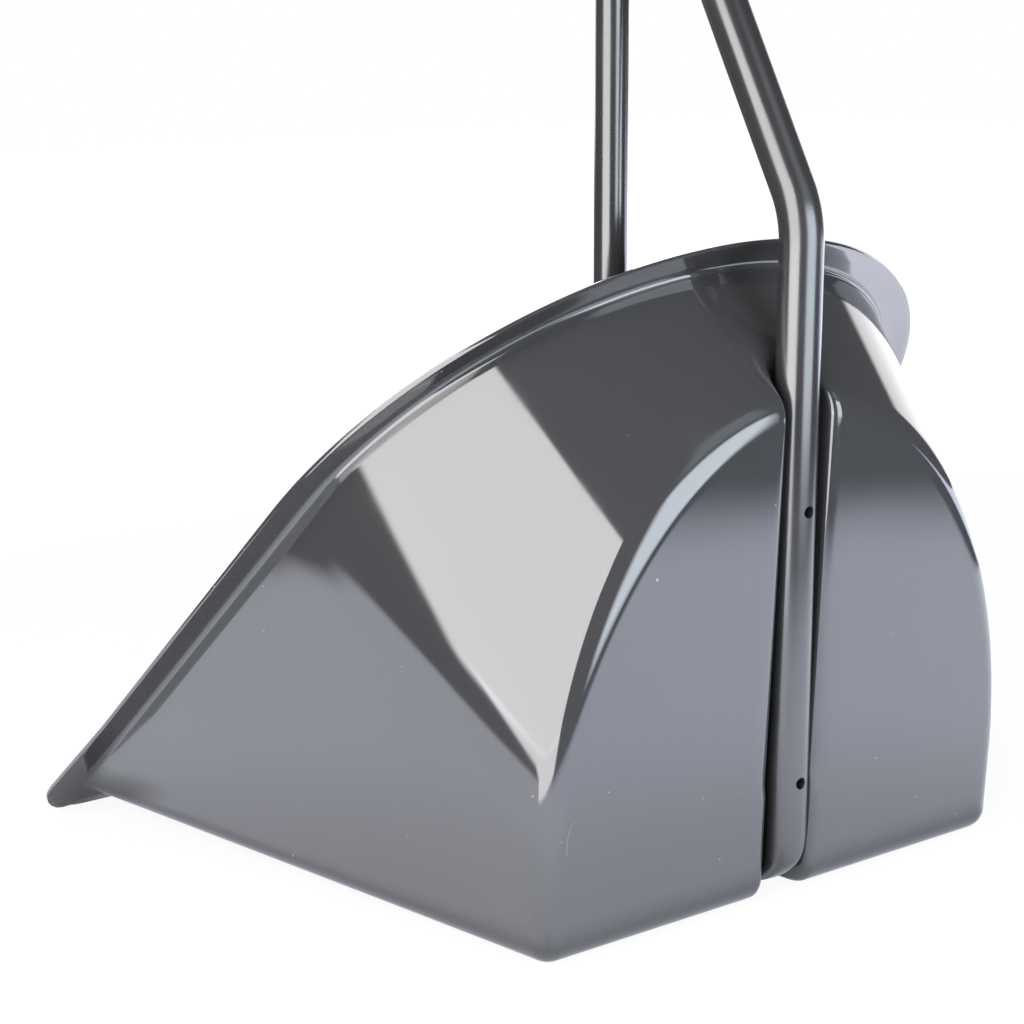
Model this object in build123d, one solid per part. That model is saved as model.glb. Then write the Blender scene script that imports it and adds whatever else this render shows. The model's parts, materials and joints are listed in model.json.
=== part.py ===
from build123d import *
from math import acos, asin, atan, atan2, cos, degrees, hypot, radians, sin, tan
import os

# Manure scoop with the rake that stands in its pan. Millimetres, Z up.
# The lip points to -Y, the back wall and the handle are at +Y, and the ground is Z = 0.

# Pan: a thermoformed tray whose flange lies in one sloping plane, the mouth
pan_depth = 317.5           # lip edge to rear bottom edge, along the ground
rear_y = 153.5              # rear bottom edge, behind the origin
wall = 3.0                  # sheet thickness
base_rear_width = 282.0     # base at the back wall
back_height = 236.0         # top of the back wall's arch, up the wall
arch_start = 33.0           # where the back wall's sides start to arch
back_lean = 2.6             # back wall leans out, degrees
back_draft = 1.9            # sides of the back wall spread upwards, degrees
mouth_width = 428.0         # between the outer wall faces at the front
hood_depth = 40.0           # top of the mouth's arch in front of the rear bottom edge
mouth_arch_r = 176.6        # outer wall face round the top of the mouth
mouth_slope = 46.7          # mouth plane to the ground, degrees
flange_width = 16.5
flange_corner_r = 24.0      # front corners of the flange
flange_root_r = 8.0         # round between flange and wall
edge_r = 12.0               # outer rounds of the base and the back wall
groove_width = 25.0         # floor of the groove that takes the handle tube
groove_draft = 4.0          # sides of the groove open outwards, degrees
groove_floor_r = 6.0
groove_lip_r = 5.0
groove_end_r = 20.0         # the groove's floor curves forward under the base
groove_end_angle = 24.0     # and leaves the base at this angle, degrees

# Handle: a steel tube in the groove, bent forward over the mouth
tube_d = 20.0
tube_wall = 1.2
tube_inset = 1.5            # tube axis in front of the rear bottom edge
tube_seat = 0.1             # tube to the groove's floor
tube_lean = 0.37            # lower tube and its groove lean back, degrees
tube_bottom = 9.0           # pinched end above the ground
pinch_height = 17.0         # length of the pinched end
pinch_depth = 3.0           # thickness of the pinched end
pinch_width = 13.0
pinch_steps = 4             # sections from the pinch to the round tube
bend_height = 318.0         # bend, up the lower tube
bend_lean = 30.0            # upper tube leans forward, degrees
bend_r = 48.0
handle_height = 800.0       # tube end above the ground

# Screws from inside the pan into the tube's front wall
screw_heights = (58.0, 186.0)       # up the lower tube
screw_hole_d = 5.6          # drilled right through the tube
screw_clear_d = 6.8         # in the pan
screw_reach = 7.0           # point past the tube's front wall
screw_head_d = 10.5
screw_head_height = 3.8
recess_length = 6.0
recess_width = 1.3
recess_depth = 1.8
screw_edge_r = 2.2          # round of the screw head
screw_point = 3.0           # length of the tapered point
screw_tip_d = 1.4
washer_d = 13.0
washer_hole_d = 6.0
washer_thickness = 1.2

# Hand grips, pushed over the tube ends
grip_length = 128.0
grip_skin = 3.4             # rubber around the tube
grip_collar = 2.6           # collar stands proud of the grip
grip_collar_height = 6.0
collar_edge_r = 2.0
grip_solid_end = 24.0       # solid rubber past the tube end
grip_end_r = 9.0
ring_count = 8              # finger rings around the grip
ring_pitch = 10.0
ring_start = 20.0           # first ring from the open end
ring_r = 2.4
ring_depth = 1.1
hang_hole_d = 8.0

# Rake: an upright tube beside the handle, on a tined head that stands on the floor
rake_tube_d = 16.0
rake_y = 108.0              # rake axis in front of the rear bottom edge
rake_side_gap = 0.5         # between the rake's tube and the handle
rake_height = 752.0         # tube end above the ground
tine_count = 8
tine_pitch = 28.0
tine_d = 5.0
tine_reach = 64.0           # bar to the bend of a tine
tine_drop = 36.0            # bar to the tips
tine_tip_lead = 16.0        # tips ahead of the bend
tine_bend_r = 22.0
tip_gap = 0.3               # tips above the pan's floor
bar_height = 18.0
bar_thickness = 6.0
bar_end = 10.0              # bar past the outer tines
socket_wall = 2.0
socket_length = 48.0
rivet_d = 5.0
rivet_head_d = 9.0
rivet_head_height = 2.4
rivet_edge_r = 1.9
rivet_height = 26.0         # above the socket's foot

# Values that follow from the sizes above
slope = radians(mouth_slope)
lean = radians(back_lean)
lip_y = rear_y - pan_depth
tube_r = tube_d / 2
tube_y = rear_y - tube_inset
base_rise = flange_width * sin(slope)
base_angle = atan(base_rise / (pan_depth - flange_width * cos(slope)))

# The rounded heel is the lowest point at the back, so the sharp corner lies just under it
heel_y = (tan(lean) * edge_r / cos(base_angle) - edge_r / cos(lean)) / (1 + tan(base_angle) * tan(lean))
heel_drop = edge_r / cos(base_angle) - tan(base_angle) * heel_y - edge_r

mouth_plane = Plane((0, lip_y, 0), x_dir=(1, 0, 0), z_dir=(0, -sin(slope), cos(slope)))
back_plane = Plane((0, rear_y, -heel_drop), x_dir=(1, 0, 0), z_dir=(0, -cos(lean), sin(lean)))
base_plane = Plane((0, rear_y, -heel_drop), x_dir=(1, 0, 0), z_dir=(0, sin(base_angle), cos(base_angle)))
mouth_length = (pan_depth - hood_depth) / cos(slope) - flange_width
arch_v = flange_width + mouth_length - mouth_arch_r

# The mouth's straight sides run from its front corners and touch its arch
arch_rise = mouth_length - mouth_arch_r
taper = acos(mouth_arch_r / hypot(mouth_width / 2, arch_rise)) - atan2(arch_rise, mouth_width / 2)

# The lower tube's own frame: Z up the tube, Y backwards from its axis
tube_tilt = radians(tube_lean)
tube_plane = Plane((0, tube_y, 0), x_dir=(1, 0, 0), z_dir=(0, sin(tube_tilt), cos(tube_tilt)))
groove_floor = -tube_r - tube_seat
ridge = groove_floor - wall
base_at_groove = (tube_inset - groove_floor + groove_end_r) * tan(base_angle) - heel_drop
groove_end = base_at_groove + groove_end_r * cos(radians(groove_end_angle))
bend = tube_plane.from_local_coords((0, 0, bend_height))

forward = radians(bend_lean)
handle_end = Plane(
    bend + (0, -(handle_height - bend.Z) * tan(forward), handle_height - bend.Z),
    x_dir=(1, 0, 0),
    z_dir=(0, -sin(forward), cos(forward)),
)

rake_tube_r = rake_tube_d / 2
socket_r = rake_tube_r + socket_wall
rake_x = tube_r + rake_tube_r + rake_side_gap
rake_axis_y = rear_y - rake_y
tip_y = rake_axis_y - tine_reach - tine_tip_lead
floor_at_tips = (rear_y - tip_y) * tan(base_angle) - heel_drop + wall / cos(base_angle)
bar_z = floor_at_tips + tip_gap + tine_d / 2 + tine_drop
bar_width = (tine_count - 1) * tine_pitch + 2 * bar_end
tine_places = [rake_x + (index - (tine_count - 1) / 2) * tine_pitch for index in range(tine_count)]
rake_foot = Plane((rake_x, rake_axis_y, bar_z + bar_height / 2))


def mouth_outline(grow, front):
    """Edges of the mouth, grown outwards, from a front edge that far up the slope."""
    radius = mouth_arch_r + grow
    side = radius * cos(taper)
    shoulder = arch_v + radius * sin(taper)
    corner = side + (shoulder - front) * tan(taper)
    return [
        Line((-corner, front), (corner, front)),
        Line((corner, front), (side, shoulder)),
        CenterArc((0, arch_v), radius, degrees(taper), 180 - 2 * degrees(taper)),
        Line((-side, shoulder), (-corner, front)),
    ]


def back_outline(inset, low):
    """Edges of the back wall, drawn in from its outer faces, down to a low edge."""
    spread = tan(radians(back_draft))
    half = base_rear_width / 2 + arch_start * spread - inset
    foot = half - (arch_start - low) * spread

    # The arch is an ellipse that the spreading sides touch, so it starts a little under its centre
    rise = back_height - arch_start - inset
    steepness = spread * rise / half
    dip = asin(steepness / (1 + steepness))
    arch_height = rise / (1 + sin(dip))
    arch = EllipticalCenterArc(
        (0, arch_start + arch_height * sin(dip)),
        half / cos(dip),
        arch_height,
        start_angle=-degrees(dip),
        arc_size=180 + 2 * degrees(dip),
    )
    return [
        Line((-foot, low), (foot, low)),
        Line((foot, low), (half, arch_start)),
        arch,
        Line((-half, arch_start), (-foot, low)),
    ]


def pan_body(inset):
    """Closed body inside the mouth, the base and the back wall, with rounded edges."""
    below = 2 * wall
    front = flange_width - below / sin(slope + base_angle)
    back = Wire([back_plane.offset(inset).from_local_coords(edge) for edge in back_outline(inset, -below)])
    mouth = Wire([mouth_plane.from_local_coords(edge) for edge in mouth_outline(-inset, front)])
    body = Solid.make_loft([back, mouth], ruled=True)
    body = split(body, bisect_by=base_plane.offset(inset), keep=Keep.TOP)
    rear_face = body.faces().sort_by(Axis.Y)[-1]
    base_face = body.faces().sort_by(Axis.Z)[0]
    base_sides = base_face.edges().filter_by(lambda edge: abs((edge @ 1 - edge @ 0).Y) > pan_depth / 2)
    return fillet(rear_face.edges() + base_sides, edge_r - inset)


def handle_groove(grow):
    """Groove for the handle tube that curves out under the base, grown by the sheet for the inside."""
    opening = tan(radians(groove_draft))
    far = 2 * tube_d
    floor = groove_floor - grow
    half = groove_width / 2 + grow * (1 - opening)
    far_half = half + (far - floor) * opening
    section = make_face(
        Polyline((-half, floor), (half, floor), (far_half, far), (-far_half, far), close=True)
    )
    section = fillet(section.vertices().sort_by(Axis.Y)[:2], groove_floor_r + grow)
    section = Pos(0, 0, groove_end) * section
    upright = extrude(section, amount=back_height + mouth_length)
    turn = Axis((0, groove_floor - groove_end_r, groove_end), (-1, 0, 0))
    return tube_plane * (upright + revolve(section, turn, 90))


def grooved_body(inset, lip_r):
    """Pan body with the handle groove pressed into its back, its lip rounded."""
    body = pan_body(inset)
    groove = handle_groove(inset)
    grooved = body - groove
    return fillet(new_edges(body, groove, combined=grooved), lip_r)


def make_pan():
    """Thin tray with a flat flange all round its mouth, cut level where it meets the ground."""
    outside = grooved_body(0, groove_lip_r)
    hollow = grooved_body(wall, groove_lip_r - wall)
    outline = make_face(mouth_outline(flange_width, 0))
    outline = fillet(outline.vertices().sort_by(Axis.Y)[:2], flange_corner_r)
    plate = extrude(mouth_plane * outline, amount=-wall)
    tray = outside + plate
    tray = fillet(new_edges(outside, plate, combined=tray), flange_root_r)
    pan = split(tray - hollow, bisect_by=Plane.XY, keep=Keep.TOP)
    for height in screw_heights:
        pan -= tube_plane * Pos(0, ridge, height) * Rot(X=90) * Cylinder(screw_clear_d / 2, 4 * wall)
    return pan


def make_handle_tube():
    """Bent tube, pinched flat towards the groove's floor at its foot and drilled for the screws."""
    foot = tube_plane.offset(tube_bottom + pinch_height)
    path = FilletPolyline(foot.origin, bend, handle_end.origin, radius=bend_r)

    def solid_tube(inset):
        sections = []
        for step in range(pinch_steps + 1):
            share = sin(radians(90 * step / pinch_steps)) ** 2
            depth = (pinch_depth + (tube_d - pinch_depth) * share) / 2
            width = (pinch_width + (tube_d - pinch_width) * share) / 2
            centre = Pos(0, depth - tube_r, tube_bottom + pinch_height * step / pinch_steps)
            sections.append(tube_plane * centre * Ellipse(width - inset, depth - inset))
        return loft(sections) + sweep(foot * Circle(tube_r - inset), path)

    tube = solid_tube(0) - solid_tube(tube_wall)
    for height in screw_heights:
        tube -= tube_plane * Pos(0, 0, height) * Rot(X=90) * Cylinder(screw_hole_d / 2, 2 * tube_d)
    return tube


def make_screw():
    """Round-headed screw along Z, its head under Z = 0, with a crossed recess."""
    reach = washer_thickness + wall + tube_seat + tube_wall + screw_reach
    upright = (Align.CENTER, Align.CENTER, Align.MIN)
    head = Cylinder(screw_head_d / 2, screw_head_height, align=(Align.CENTER, Align.CENTER, Align.MAX))
    head = fillet(head.edges().sort_by(Axis.Z)[0], screw_edge_r)
    for turn in (0, 90):
        slot = Rot(Z=turn) * Box(recess_length, recess_width, 2 * recess_depth)
        head -= Pos(0, 0, -screw_head_height) * slot
    shank = Cylinder(screw_hole_d / 2, reach - screw_point, align=upright)
    point = Cone(screw_hole_d / 2, screw_tip_d / 2, screw_point, align=upright)
    return head + shank + Pos(0, 0, reach - screw_point) * point


def make_washer():
    """Flat washer along Z, under Z = 0."""
    ring = Circle(washer_d / 2) - Circle(washer_hole_d / 2)
    return extrude(ring, amount=-washer_thickness)


def on_ridge(piece, stand_off):
    """The piece at each screw, pointing back, that far in front of the ridge inside the pan."""
    return Compound([
        solid
        for height in screw_heights
        for solid in (tube_plane * Pos(0, ridge - stand_off, height) * Rot(X=-90) * piece).solids()
    ])


def make_grip(tube_end, bore):
    """Rubber grip over a tube end, with a collar, finger rings and a hole to hang it by."""
    radius = bore + grip_skin
    open_end = grip_solid_end - grip_length
    upright = (Align.CENTER, Align.CENTER, Align.MIN)
    grip = Pos(0, 0, open_end) * Cylinder(radius, grip_length, align=upright)
    grip = fillet(grip.edges().sort_by(Axis.Z)[-1], grip_end_r)
    collar = Cylinder(radius + grip_collar, grip_collar_height, align=upright)
    grip += Pos(0, 0, open_end) * fillet(collar.edges().filter_by(GeomType.CIRCLE), collar_edge_r)
    for ring in range(ring_count):
        height = open_end + ring_start + ring * ring_pitch
        grip -= Pos(0, 0, height) * Torus(radius + ring_r - ring_depth, ring_r)
    grip -= Pos(0, 0, open_end) * Cylinder(bore, grip_length - grip_solid_end, align=upright)
    grip -= Pos(0, 0, grip_solid_end / 2) * Rot(Y=90) * Cylinder(hang_hole_d / 2, 4 * radius)
    return tube_end * grip


def make_rake_tube():
    """Straight tube that stands on the bar, drilled for the rivet."""
    ring = Circle(rake_tube_r) - Circle(rake_tube_r - tube_wall)
    tube = rake_foot * extrude(ring, amount=rake_height - rake_foot.origin.Z)
    return tube - rivet_hole()


def make_socket():
    """Short sleeve on the bar that the rake's tube is pushed into."""
    ring = Circle(socket_r) - Circle(rake_tube_r)
    return rake_foot * extrude(ring, amount=socket_length) - rivet_hole()


def rivet_hole():
    """Cutter across the socket and the tube."""
    return rake_foot * Pos(0, 0, rivet_height) * Rot(X=90) * Cylinder(rivet_d / 2, 4 * socket_r)


def make_rivet():
    """Rivet across the socket, both heads formed to its curve."""
    length = 2 * (socket_r + rivet_head_height)
    heads = Cylinder(rivet_head_d / 2, length)
    heads = fillet(heads.edges().filter_by(GeomType.CIRCLE), rivet_edge_r)
    rivet = Rot(X=90) * heads - Cylinder(socket_r, 2 * rivet_head_d)
    rivet += Rot(X=90) * Cylinder(rivet_d / 2, 2 * socket_r)
    return rake_foot * Pos(0, 0, rivet_height) * rivet


def make_bar():
    """Cross bar of the rake, drilled for the tines."""
    bar = Pos(rake_x, rake_axis_y, bar_z) * Box(bar_width, bar_thickness, bar_height)
    for x in tine_places:
        bar -= Pos(x, rake_axis_y, bar_z) * Rot(X=90) * Cylinder(tine_d / 2, 2 * bar_thickness)
    return bar


def make_tine(x):
    """Round tine through the bar, bent down to a rounded tip."""
    start = (x, rake_axis_y + bar_thickness / 2, bar_z)
    elbow = (x, rake_axis_y - tine_reach, bar_z)
    tip = (x, tip_y, bar_z - tine_drop)
    path = FilletPolyline(start, elbow, tip, radius=tine_bend_r)
    section = Plane(start, x_dir=(1, 0, 0), z_dir=(0, -1, 0)) * Circle(tine_d / 2)
    return sweep(section, path) + Pos(tip) * Sphere(tine_d / 2)


parts = {
    "scoop_pan": make_pan(),
    "handle_tube": make_handle_tube(),
    "handle_grip": make_grip(handle_end, tube_r),
    "handle_screws": on_ridge(make_screw(), washer_thickness),
    "screw_washers": on_ridge(make_washer(), 0),
    "rake_tube": make_rake_tube(),
    "rake_grip": make_grip(Plane((rake_x, rake_axis_y, rake_height)), rake_tube_r),
    "rake_socket": make_socket(),
    "rake_rivet": make_rivet(),
    "rake_bar": make_bar(),
}
for number, x in enumerate(tine_places, start=1):
    parts[f"rake_tine_{number}"] = make_tine(x)

os.makedirs("parts", exist_ok=True)
for name, part in parts.items():
    part.label = name
    export_step(part, f"parts/{name}.step")
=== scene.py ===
"""Looks of a manure scoop and the rake that stands in its pan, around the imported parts."""
import json
from math import acos, asin, atan2, cos, hypot, pi, radians, sin, tan

import bmesh
import bpy
from bpy.props import FloatProperty, FloatVectorProperty, PointerProperty
from mathutils import Matrix, Vector

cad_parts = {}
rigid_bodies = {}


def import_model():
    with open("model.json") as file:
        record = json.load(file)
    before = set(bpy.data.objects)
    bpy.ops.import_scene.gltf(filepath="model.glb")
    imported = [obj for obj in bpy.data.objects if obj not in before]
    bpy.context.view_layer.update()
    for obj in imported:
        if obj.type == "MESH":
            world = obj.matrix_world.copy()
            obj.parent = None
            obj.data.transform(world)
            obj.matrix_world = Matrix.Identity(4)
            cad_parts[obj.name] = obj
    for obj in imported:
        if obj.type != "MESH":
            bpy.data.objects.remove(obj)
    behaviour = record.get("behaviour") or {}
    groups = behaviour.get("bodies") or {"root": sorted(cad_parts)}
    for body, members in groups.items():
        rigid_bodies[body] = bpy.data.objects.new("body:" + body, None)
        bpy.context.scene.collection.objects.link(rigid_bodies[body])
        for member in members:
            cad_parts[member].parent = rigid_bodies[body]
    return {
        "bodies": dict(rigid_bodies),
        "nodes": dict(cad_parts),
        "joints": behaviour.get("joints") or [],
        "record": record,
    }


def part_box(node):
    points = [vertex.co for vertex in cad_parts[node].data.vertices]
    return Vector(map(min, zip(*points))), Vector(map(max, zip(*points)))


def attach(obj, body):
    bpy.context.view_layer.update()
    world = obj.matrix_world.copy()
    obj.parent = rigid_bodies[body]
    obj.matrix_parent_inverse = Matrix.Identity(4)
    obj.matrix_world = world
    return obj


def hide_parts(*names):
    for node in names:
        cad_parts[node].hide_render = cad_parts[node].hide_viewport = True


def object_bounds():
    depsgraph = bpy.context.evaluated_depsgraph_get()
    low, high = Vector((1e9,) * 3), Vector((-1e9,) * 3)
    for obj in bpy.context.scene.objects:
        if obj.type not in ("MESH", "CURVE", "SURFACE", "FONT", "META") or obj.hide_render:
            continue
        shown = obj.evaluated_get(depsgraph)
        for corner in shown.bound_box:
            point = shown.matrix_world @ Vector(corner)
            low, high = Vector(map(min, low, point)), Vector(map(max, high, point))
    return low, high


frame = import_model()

bl_info = {
    "name": "Manure scoop",
    "version": (1, 0, 0),
    "blender": (4, 5, 0),
    "location": "3D View > Sidebar > Scoop",
    "description": "Finishes a manure scoop with its rake and sets it on a studio floor",
    "category": "Object",
}

CAD_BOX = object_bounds()
NODES = frame["nodes"]
TINES = sorted(name for name in NODES if name.startswith("rake_tine"))
GROUND = CAD_BOX[0].z
X_AXIS = Vector((1, 0, 0))
WHITE = (1, 1, 1)


def feed(tree, socket, value):
    """Links an expression to a socket of its tree, or sets the socket to a plain value."""
    if isinstance(value, Value):
        tree.links.new(value.socket, socket)
    else:
        socket.default_value = value


def math_method(operation, swapped=False):
    """A method of an expression that puts it and another value into a Math node, in this order or swapped."""

    def method(self, other):
        return self.maths(operation, other, self) if swapped else self.maths(operation, self, other)

    return method


class Value:
    """A socket in a node tree, with sums and products written as Python expressions."""

    __add__, __radd__ = math_method("ADD"), math_method("ADD", swapped=True)
    __sub__, __rsub__ = math_method("SUBTRACT"), math_method("SUBTRACT", swapped=True)
    __mul__, __rmul__ = math_method("MULTIPLY"), math_method("MULTIPLY", swapped=True)
    __truediv__, __pow__ = math_method("DIVIDE"), math_method("POWER")
    at_most, at_least = math_method("MINIMUM"), math_method("MAXIMUM")

    def __init__(self, tree, socket):
        self.tree = tree
        self.socket = socket

    def node(self, kind, inputs=(), output=0, **settings):
        """A new node: its settings first, then its sockets' values or links."""
        made = self.tree.nodes.new(kind)
        for name, value in settings.items():
            setattr(made, name, value)
        for key, value in dict(inputs).items():
            feed(self.tree, made.inputs[key], value)
        return Value(self.tree, made.outputs[output])

    def maths(self, operation, first, second=0):
        """What a Math node makes of one or two values."""
        return self.node("ShaderNodeMath", {0: first, 1: second}, operation=operation)

    def __abs__(self):
        return self.maths("ABSOLUTE", self)

    def root(self):
        return self.maths("SQRT", self)

    def axis(self, name):
        """One of a vector's three numbers."""
        return self.node("ShaderNodeSeparateXYZ", {0: self}, output=name)

    def reach(self):
        """A vector's length."""
        return self.node("ShaderNodeVectorMath", {0: self}, output="Value", operation="LENGTH")

    def rise(self, low, high):
        """0 below low, 1 above high, smooth between; high may be the smaller one."""
        return self.node(
            "ShaderNodeMapRange",
            {"Value": self, "From Min": low, "From Max": high},
            interpolation_type="SMOOTHSTEP",
        )

    def mix(self, low, high):
        """The colour low where this value is 0 and high where it is 1."""
        made = self.tree.nodes.new("ShaderNodeMix")
        made.data_type = "RGBA"
        feed(self.tree, made.inputs["Factor"], self)
        for key, colour in (("A", low), ("B", high)):
            socket = next(s for s in made.inputs if s.name == key and s.type == "RGBA")
            feed(self.tree, socket, colour if isinstance(colour, Value) else (*colour, 1))
        return Value(self.tree, next(s for s in made.outputs if s.type == "RGBA"))

    def shades(self, colour, dark, light):
        """A colour from a darker to a lighter share of itself, where this value is 0 and 1."""
        return self.mix([part * dark for part in colour], [part * light for part in colour])


class Finish:
    """A new material with one Principled shader, and the textures that feed it."""

    # Specks: radius of core and rim in cells, what the largest add, softness of the choice of cells
    SPECK_CORE, SPECK_RIM, SPECK_GROWTH, SPECK_FADE = 0.02, 0.05, 0.05, 0.01
    # Hairlines: half width of core and rim in their noise, size of their stretches, where these start
    HAIR_CORE, HAIR_RIM, HAIR_STRETCH, HAIR_START = 0.0006, 0.0018, 0.4, (0.68, 0.73)

    def __init__(self, name):
        self.material = bpy.data.materials.new(name)
        self.material.use_nodes = True
        self.tree = self.material.node_tree
        self.shader = self.tree.nodes["Principled BSDF"]
        coordinates = self.tree.nodes.new("ShaderNodeTexCoord")
        self.place = Value(self.tree, coordinates.outputs["Object"])
        self.height = self.place.axis("Z")

    def drawn_out(self, stretch, turn=(0, 0, 0), place=(0, 0, 0)):
        """Coordinates of a pattern that is put in a place, turned, and drawn out along its own axes."""
        inputs = {"Vector": self.place, "Location": place, "Rotation": turn, "Scale": stretch}
        return self.place.node("ShaderNodeMapping", inputs, vector_type="TEXTURE")

    def noise(self, size, detail=2.0, rough=0.5, place=None):
        """Soft noise with features about that many metres across."""
        inputs = {"Vector": place or self.place, "Scale": 1 / size, "Detail": detail, "Roughness": rough}
        return self.place.node("ShaderNodeTexNoise", inputs)

    def specks(self, spacing, share, seed_shift=0.0):
        """Small round dots, one to a cell, in a share of the cells."""
        shifted = self.place.node("ShaderNodeMapping", {"Vector": self.place, "Location": (seed_shift,) * 3})
        inputs = {"Vector": shifted, "Scale": 1 / spacing}
        distance = self.place.node("ShaderNodeTexVoronoi", inputs, output="Distance")
        cell = self.place.node("ShaderNodeTexVoronoi", inputs, output="Color")
        chance, size = (
            self.place.node("ShaderNodeSeparateColor", {0: cell}, output=part) for part in ("Red", "Green")
        )
        dot = (distance - size * self.SPECK_GROWTH).rise(self.SPECK_RIM, self.SPECK_CORE)
        return dot * chance.rise(1 - share, 1 - share + self.SPECK_FADE)

    def hairlines(self, size):
        """Fine wavering scratches: short stretches of the contour lines of a noise of that size."""
        away = abs(self.noise(size) - 0.5)
        stretches = self.noise(size * self.HAIR_STRETCH, detail=1).rise(*self.HAIR_START)
        return away.rise(self.HAIR_RIM, self.HAIR_CORE) * stretches

    def bump(self, height, depth, under=None):
        """Relief of that depth in metres where height is 1."""
        inputs = {"Height": height, "Distance": depth}
        if under:
            inputs["Normal"] = under
        return self.place.node("ShaderNodeBump", inputs)

    def set(self, **values):
        """Values or expressions for the shader's sockets, by name with _ for spaces."""
        for key, value in values.items():
            feed(self.tree, self.shader.inputs[key.replace("_", " ")], value)
        return self.material


def new_object(name, data):
    """An object of that data, in the scene."""
    made = bpy.data.objects.new(name, data)
    bpy.context.scene.collection.objects.link(made)
    return made


def cover(mesh, *materials):
    """Gives a mesh these materials and no others."""
    mesh.materials.clear()
    for material in materials:
        mesh.materials.append(material)


def plain_mesh(holder):
    """The mesh that an object's modifiers make; the object itself goes."""
    graph = bpy.context.evaluated_depsgraph_get()
    result = bpy.data.meshes.new_from_object(holder.evaluated_get(graph))
    bpy.data.objects.remove(holder)
    return result


class Pattern:
    """A Geometry Nodes tree with named inputs for its sizes, whose result becomes a plain mesh."""

    # Points round a bend
    BEND_STEPS = 16

    def __init__(self, name, **sizes):
        self.tree = bpy.data.node_groups.new(name, "GeometryNodeTree")
        self.tree.interface.new_socket("Geometry", in_out="OUTPUT", socket_type="NodeSocketGeometry")
        self.sizes = {}
        for label, size in sizes.items():
            kind = "NodeSocketInt" if isinstance(size, int) else "NodeSocketFloat"
            socket = self.tree.interface.new_socket(label, in_out="INPUT", socket_type=kind)
            self.sizes[socket.identifier] = size
        self.inputs = self.tree.nodes.new("NodeGroupInput")

    def __getitem__(self, label):
        return Value(self.tree, self.inputs.outputs[label])

    def field(self, kind, inputs=(), output=0, **settings):
        """A node of the tree that needs no other one."""
        return Value(self.tree, None).node(kind, inputs, output, **settings)

    def vector(self, x=0.0, y=0.0, z=0.0):
        return self.field("ShaderNodeCombineXYZ", {0: x, 1: y, 2: z})

    def moved(self, made, **inputs):
        """Geometry after a Transform, given its Translation, Rotation or Scale."""
        return made.node("GeometryNodeTransform", {"Geometry": made, **inputs})

    def joined(self, *pieces):
        """Several geometries as one."""
        join = self.tree.nodes.new("GeometryNodeJoinGeometry")
        for piece in pieces:
            self.tree.links.new(piece.socket, join.inputs[0])
        return Value(self.tree, join.outputs[0])

    def bent_path(self, first, second, radius, spacing):
        """A path from the origin along two straight runs, each given as (y, z), with a round between them."""
        index = self.field("GeometryNodeInputIndex")
        shares = index.at_most(1), (index - 1).at_least(0)
        y, z = (shares[0] * a + shares[1] * b for a, b in zip(first, second))
        line = self.field("GeometryNodeMeshLine", {"Count": 3})
        line = line.node("GeometryNodeSetPosition", {"Geometry": line, "Position": self.vector(y=y, z=z)})
        path = line.node("GeometryNodeMeshToCurve", {"Mesh": line})
        inputs = {"Curve": path, "Count": self.BEND_STEPS, "Radius": radius}
        path = path.node("GeometryNodeFilletCurve", inputs, mode="POLY")
        return path.node("GeometryNodeResampleCurve", {"Curve": path, "Length": spacing}, mode="LENGTH")

    def swept(self, path, thickness, sides):
        """A round section along a path, closed at its ends; its radius may change on the way."""
        ring = self.field("GeometryNodeCurvePrimitiveCircle", {"Resolution": sides, "Radius": 1.0})
        inputs = {"Curve": path, "Profile Curve": ring, "Scale": thickness, "Fill Caps": True}
        return path.node("GeometryNodeCurveToMesh", inputs)

    def placed(self, points, piece, **inputs):
        """Instances of a piece on points."""
        return points.node("GeometryNodeInstanceOnPoints", {"Points": points, "Instance": piece, **inputs})

    def mesh(self, made, material):
        """The plain mesh of what the tree makes, in one material."""
        real = made.node("GeometryNodeRealizeInstances", {0: made})
        painted = real.node("GeometryNodeSetMaterial", {"Geometry": real, "Material": material})
        end = self.tree.nodes.new("NodeGroupOutput")
        self.tree.links.new(painted.socket, end.inputs[0])
        holder = new_object(self.tree.name, bpy.data.meshes.new(self.tree.name))
        modifier = holder.modifiers.new(self.tree.name, "NODES")
        modifier.node_group = self.tree
        for identifier, size in self.sizes.items():
            modifier[identifier] = size
        return plain_mesh(holder)


def a_length(name, description, default):
    return FloatProperty(name=name, description=description, default=default, unit="LENGTH", precision=4)


def an_angle(name, description, degrees):
    return FloatProperty(name=name, description=description, default=radians(degrees), subtype="ANGLE")


def a_colour(name, description, *default):
    return FloatVectorProperty(name=name, description=description, default=default, size=3, subtype="COLOR")


def a_level(name, description, default):
    return FloatProperty(name=name, description=description, default=default)


def shaped(name, mesh, *modifiers):
    """A plain mesh: the given one after modifiers, each a type with its settings."""
    holder = new_object(name, mesh)
    for kind, settings in modifiers:
        modifier = holder.modifiers.new(kind.lower(), kind)
        for key, value in settings.items():
            setattr(modifier, key, value)
    return plain_mesh(holder)


def stand_in(name, mesh, body, slot, *nodes):
    """A finished piece on its body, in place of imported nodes."""
    mesh.name = name
    mesh.shade_smooth()
    piece = new_object(name, mesh)
    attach(piece, body)
    if nodes:
        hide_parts(*nodes)
    return piece


def dress(names, material):
    """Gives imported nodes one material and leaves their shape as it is."""
    for name in names:
        cover(NODES[name].data, material)


def conic(start, corner, end, weight, share):
    """A point of the round between two faces that would meet at the corner."""
    parts = ((1 - share) ** 2, 2 * weight * share * (1 - share), share ** 2)
    return (start * parts[0] + corner * parts[1] + end * parts[2]) / sum(parts)


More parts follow.
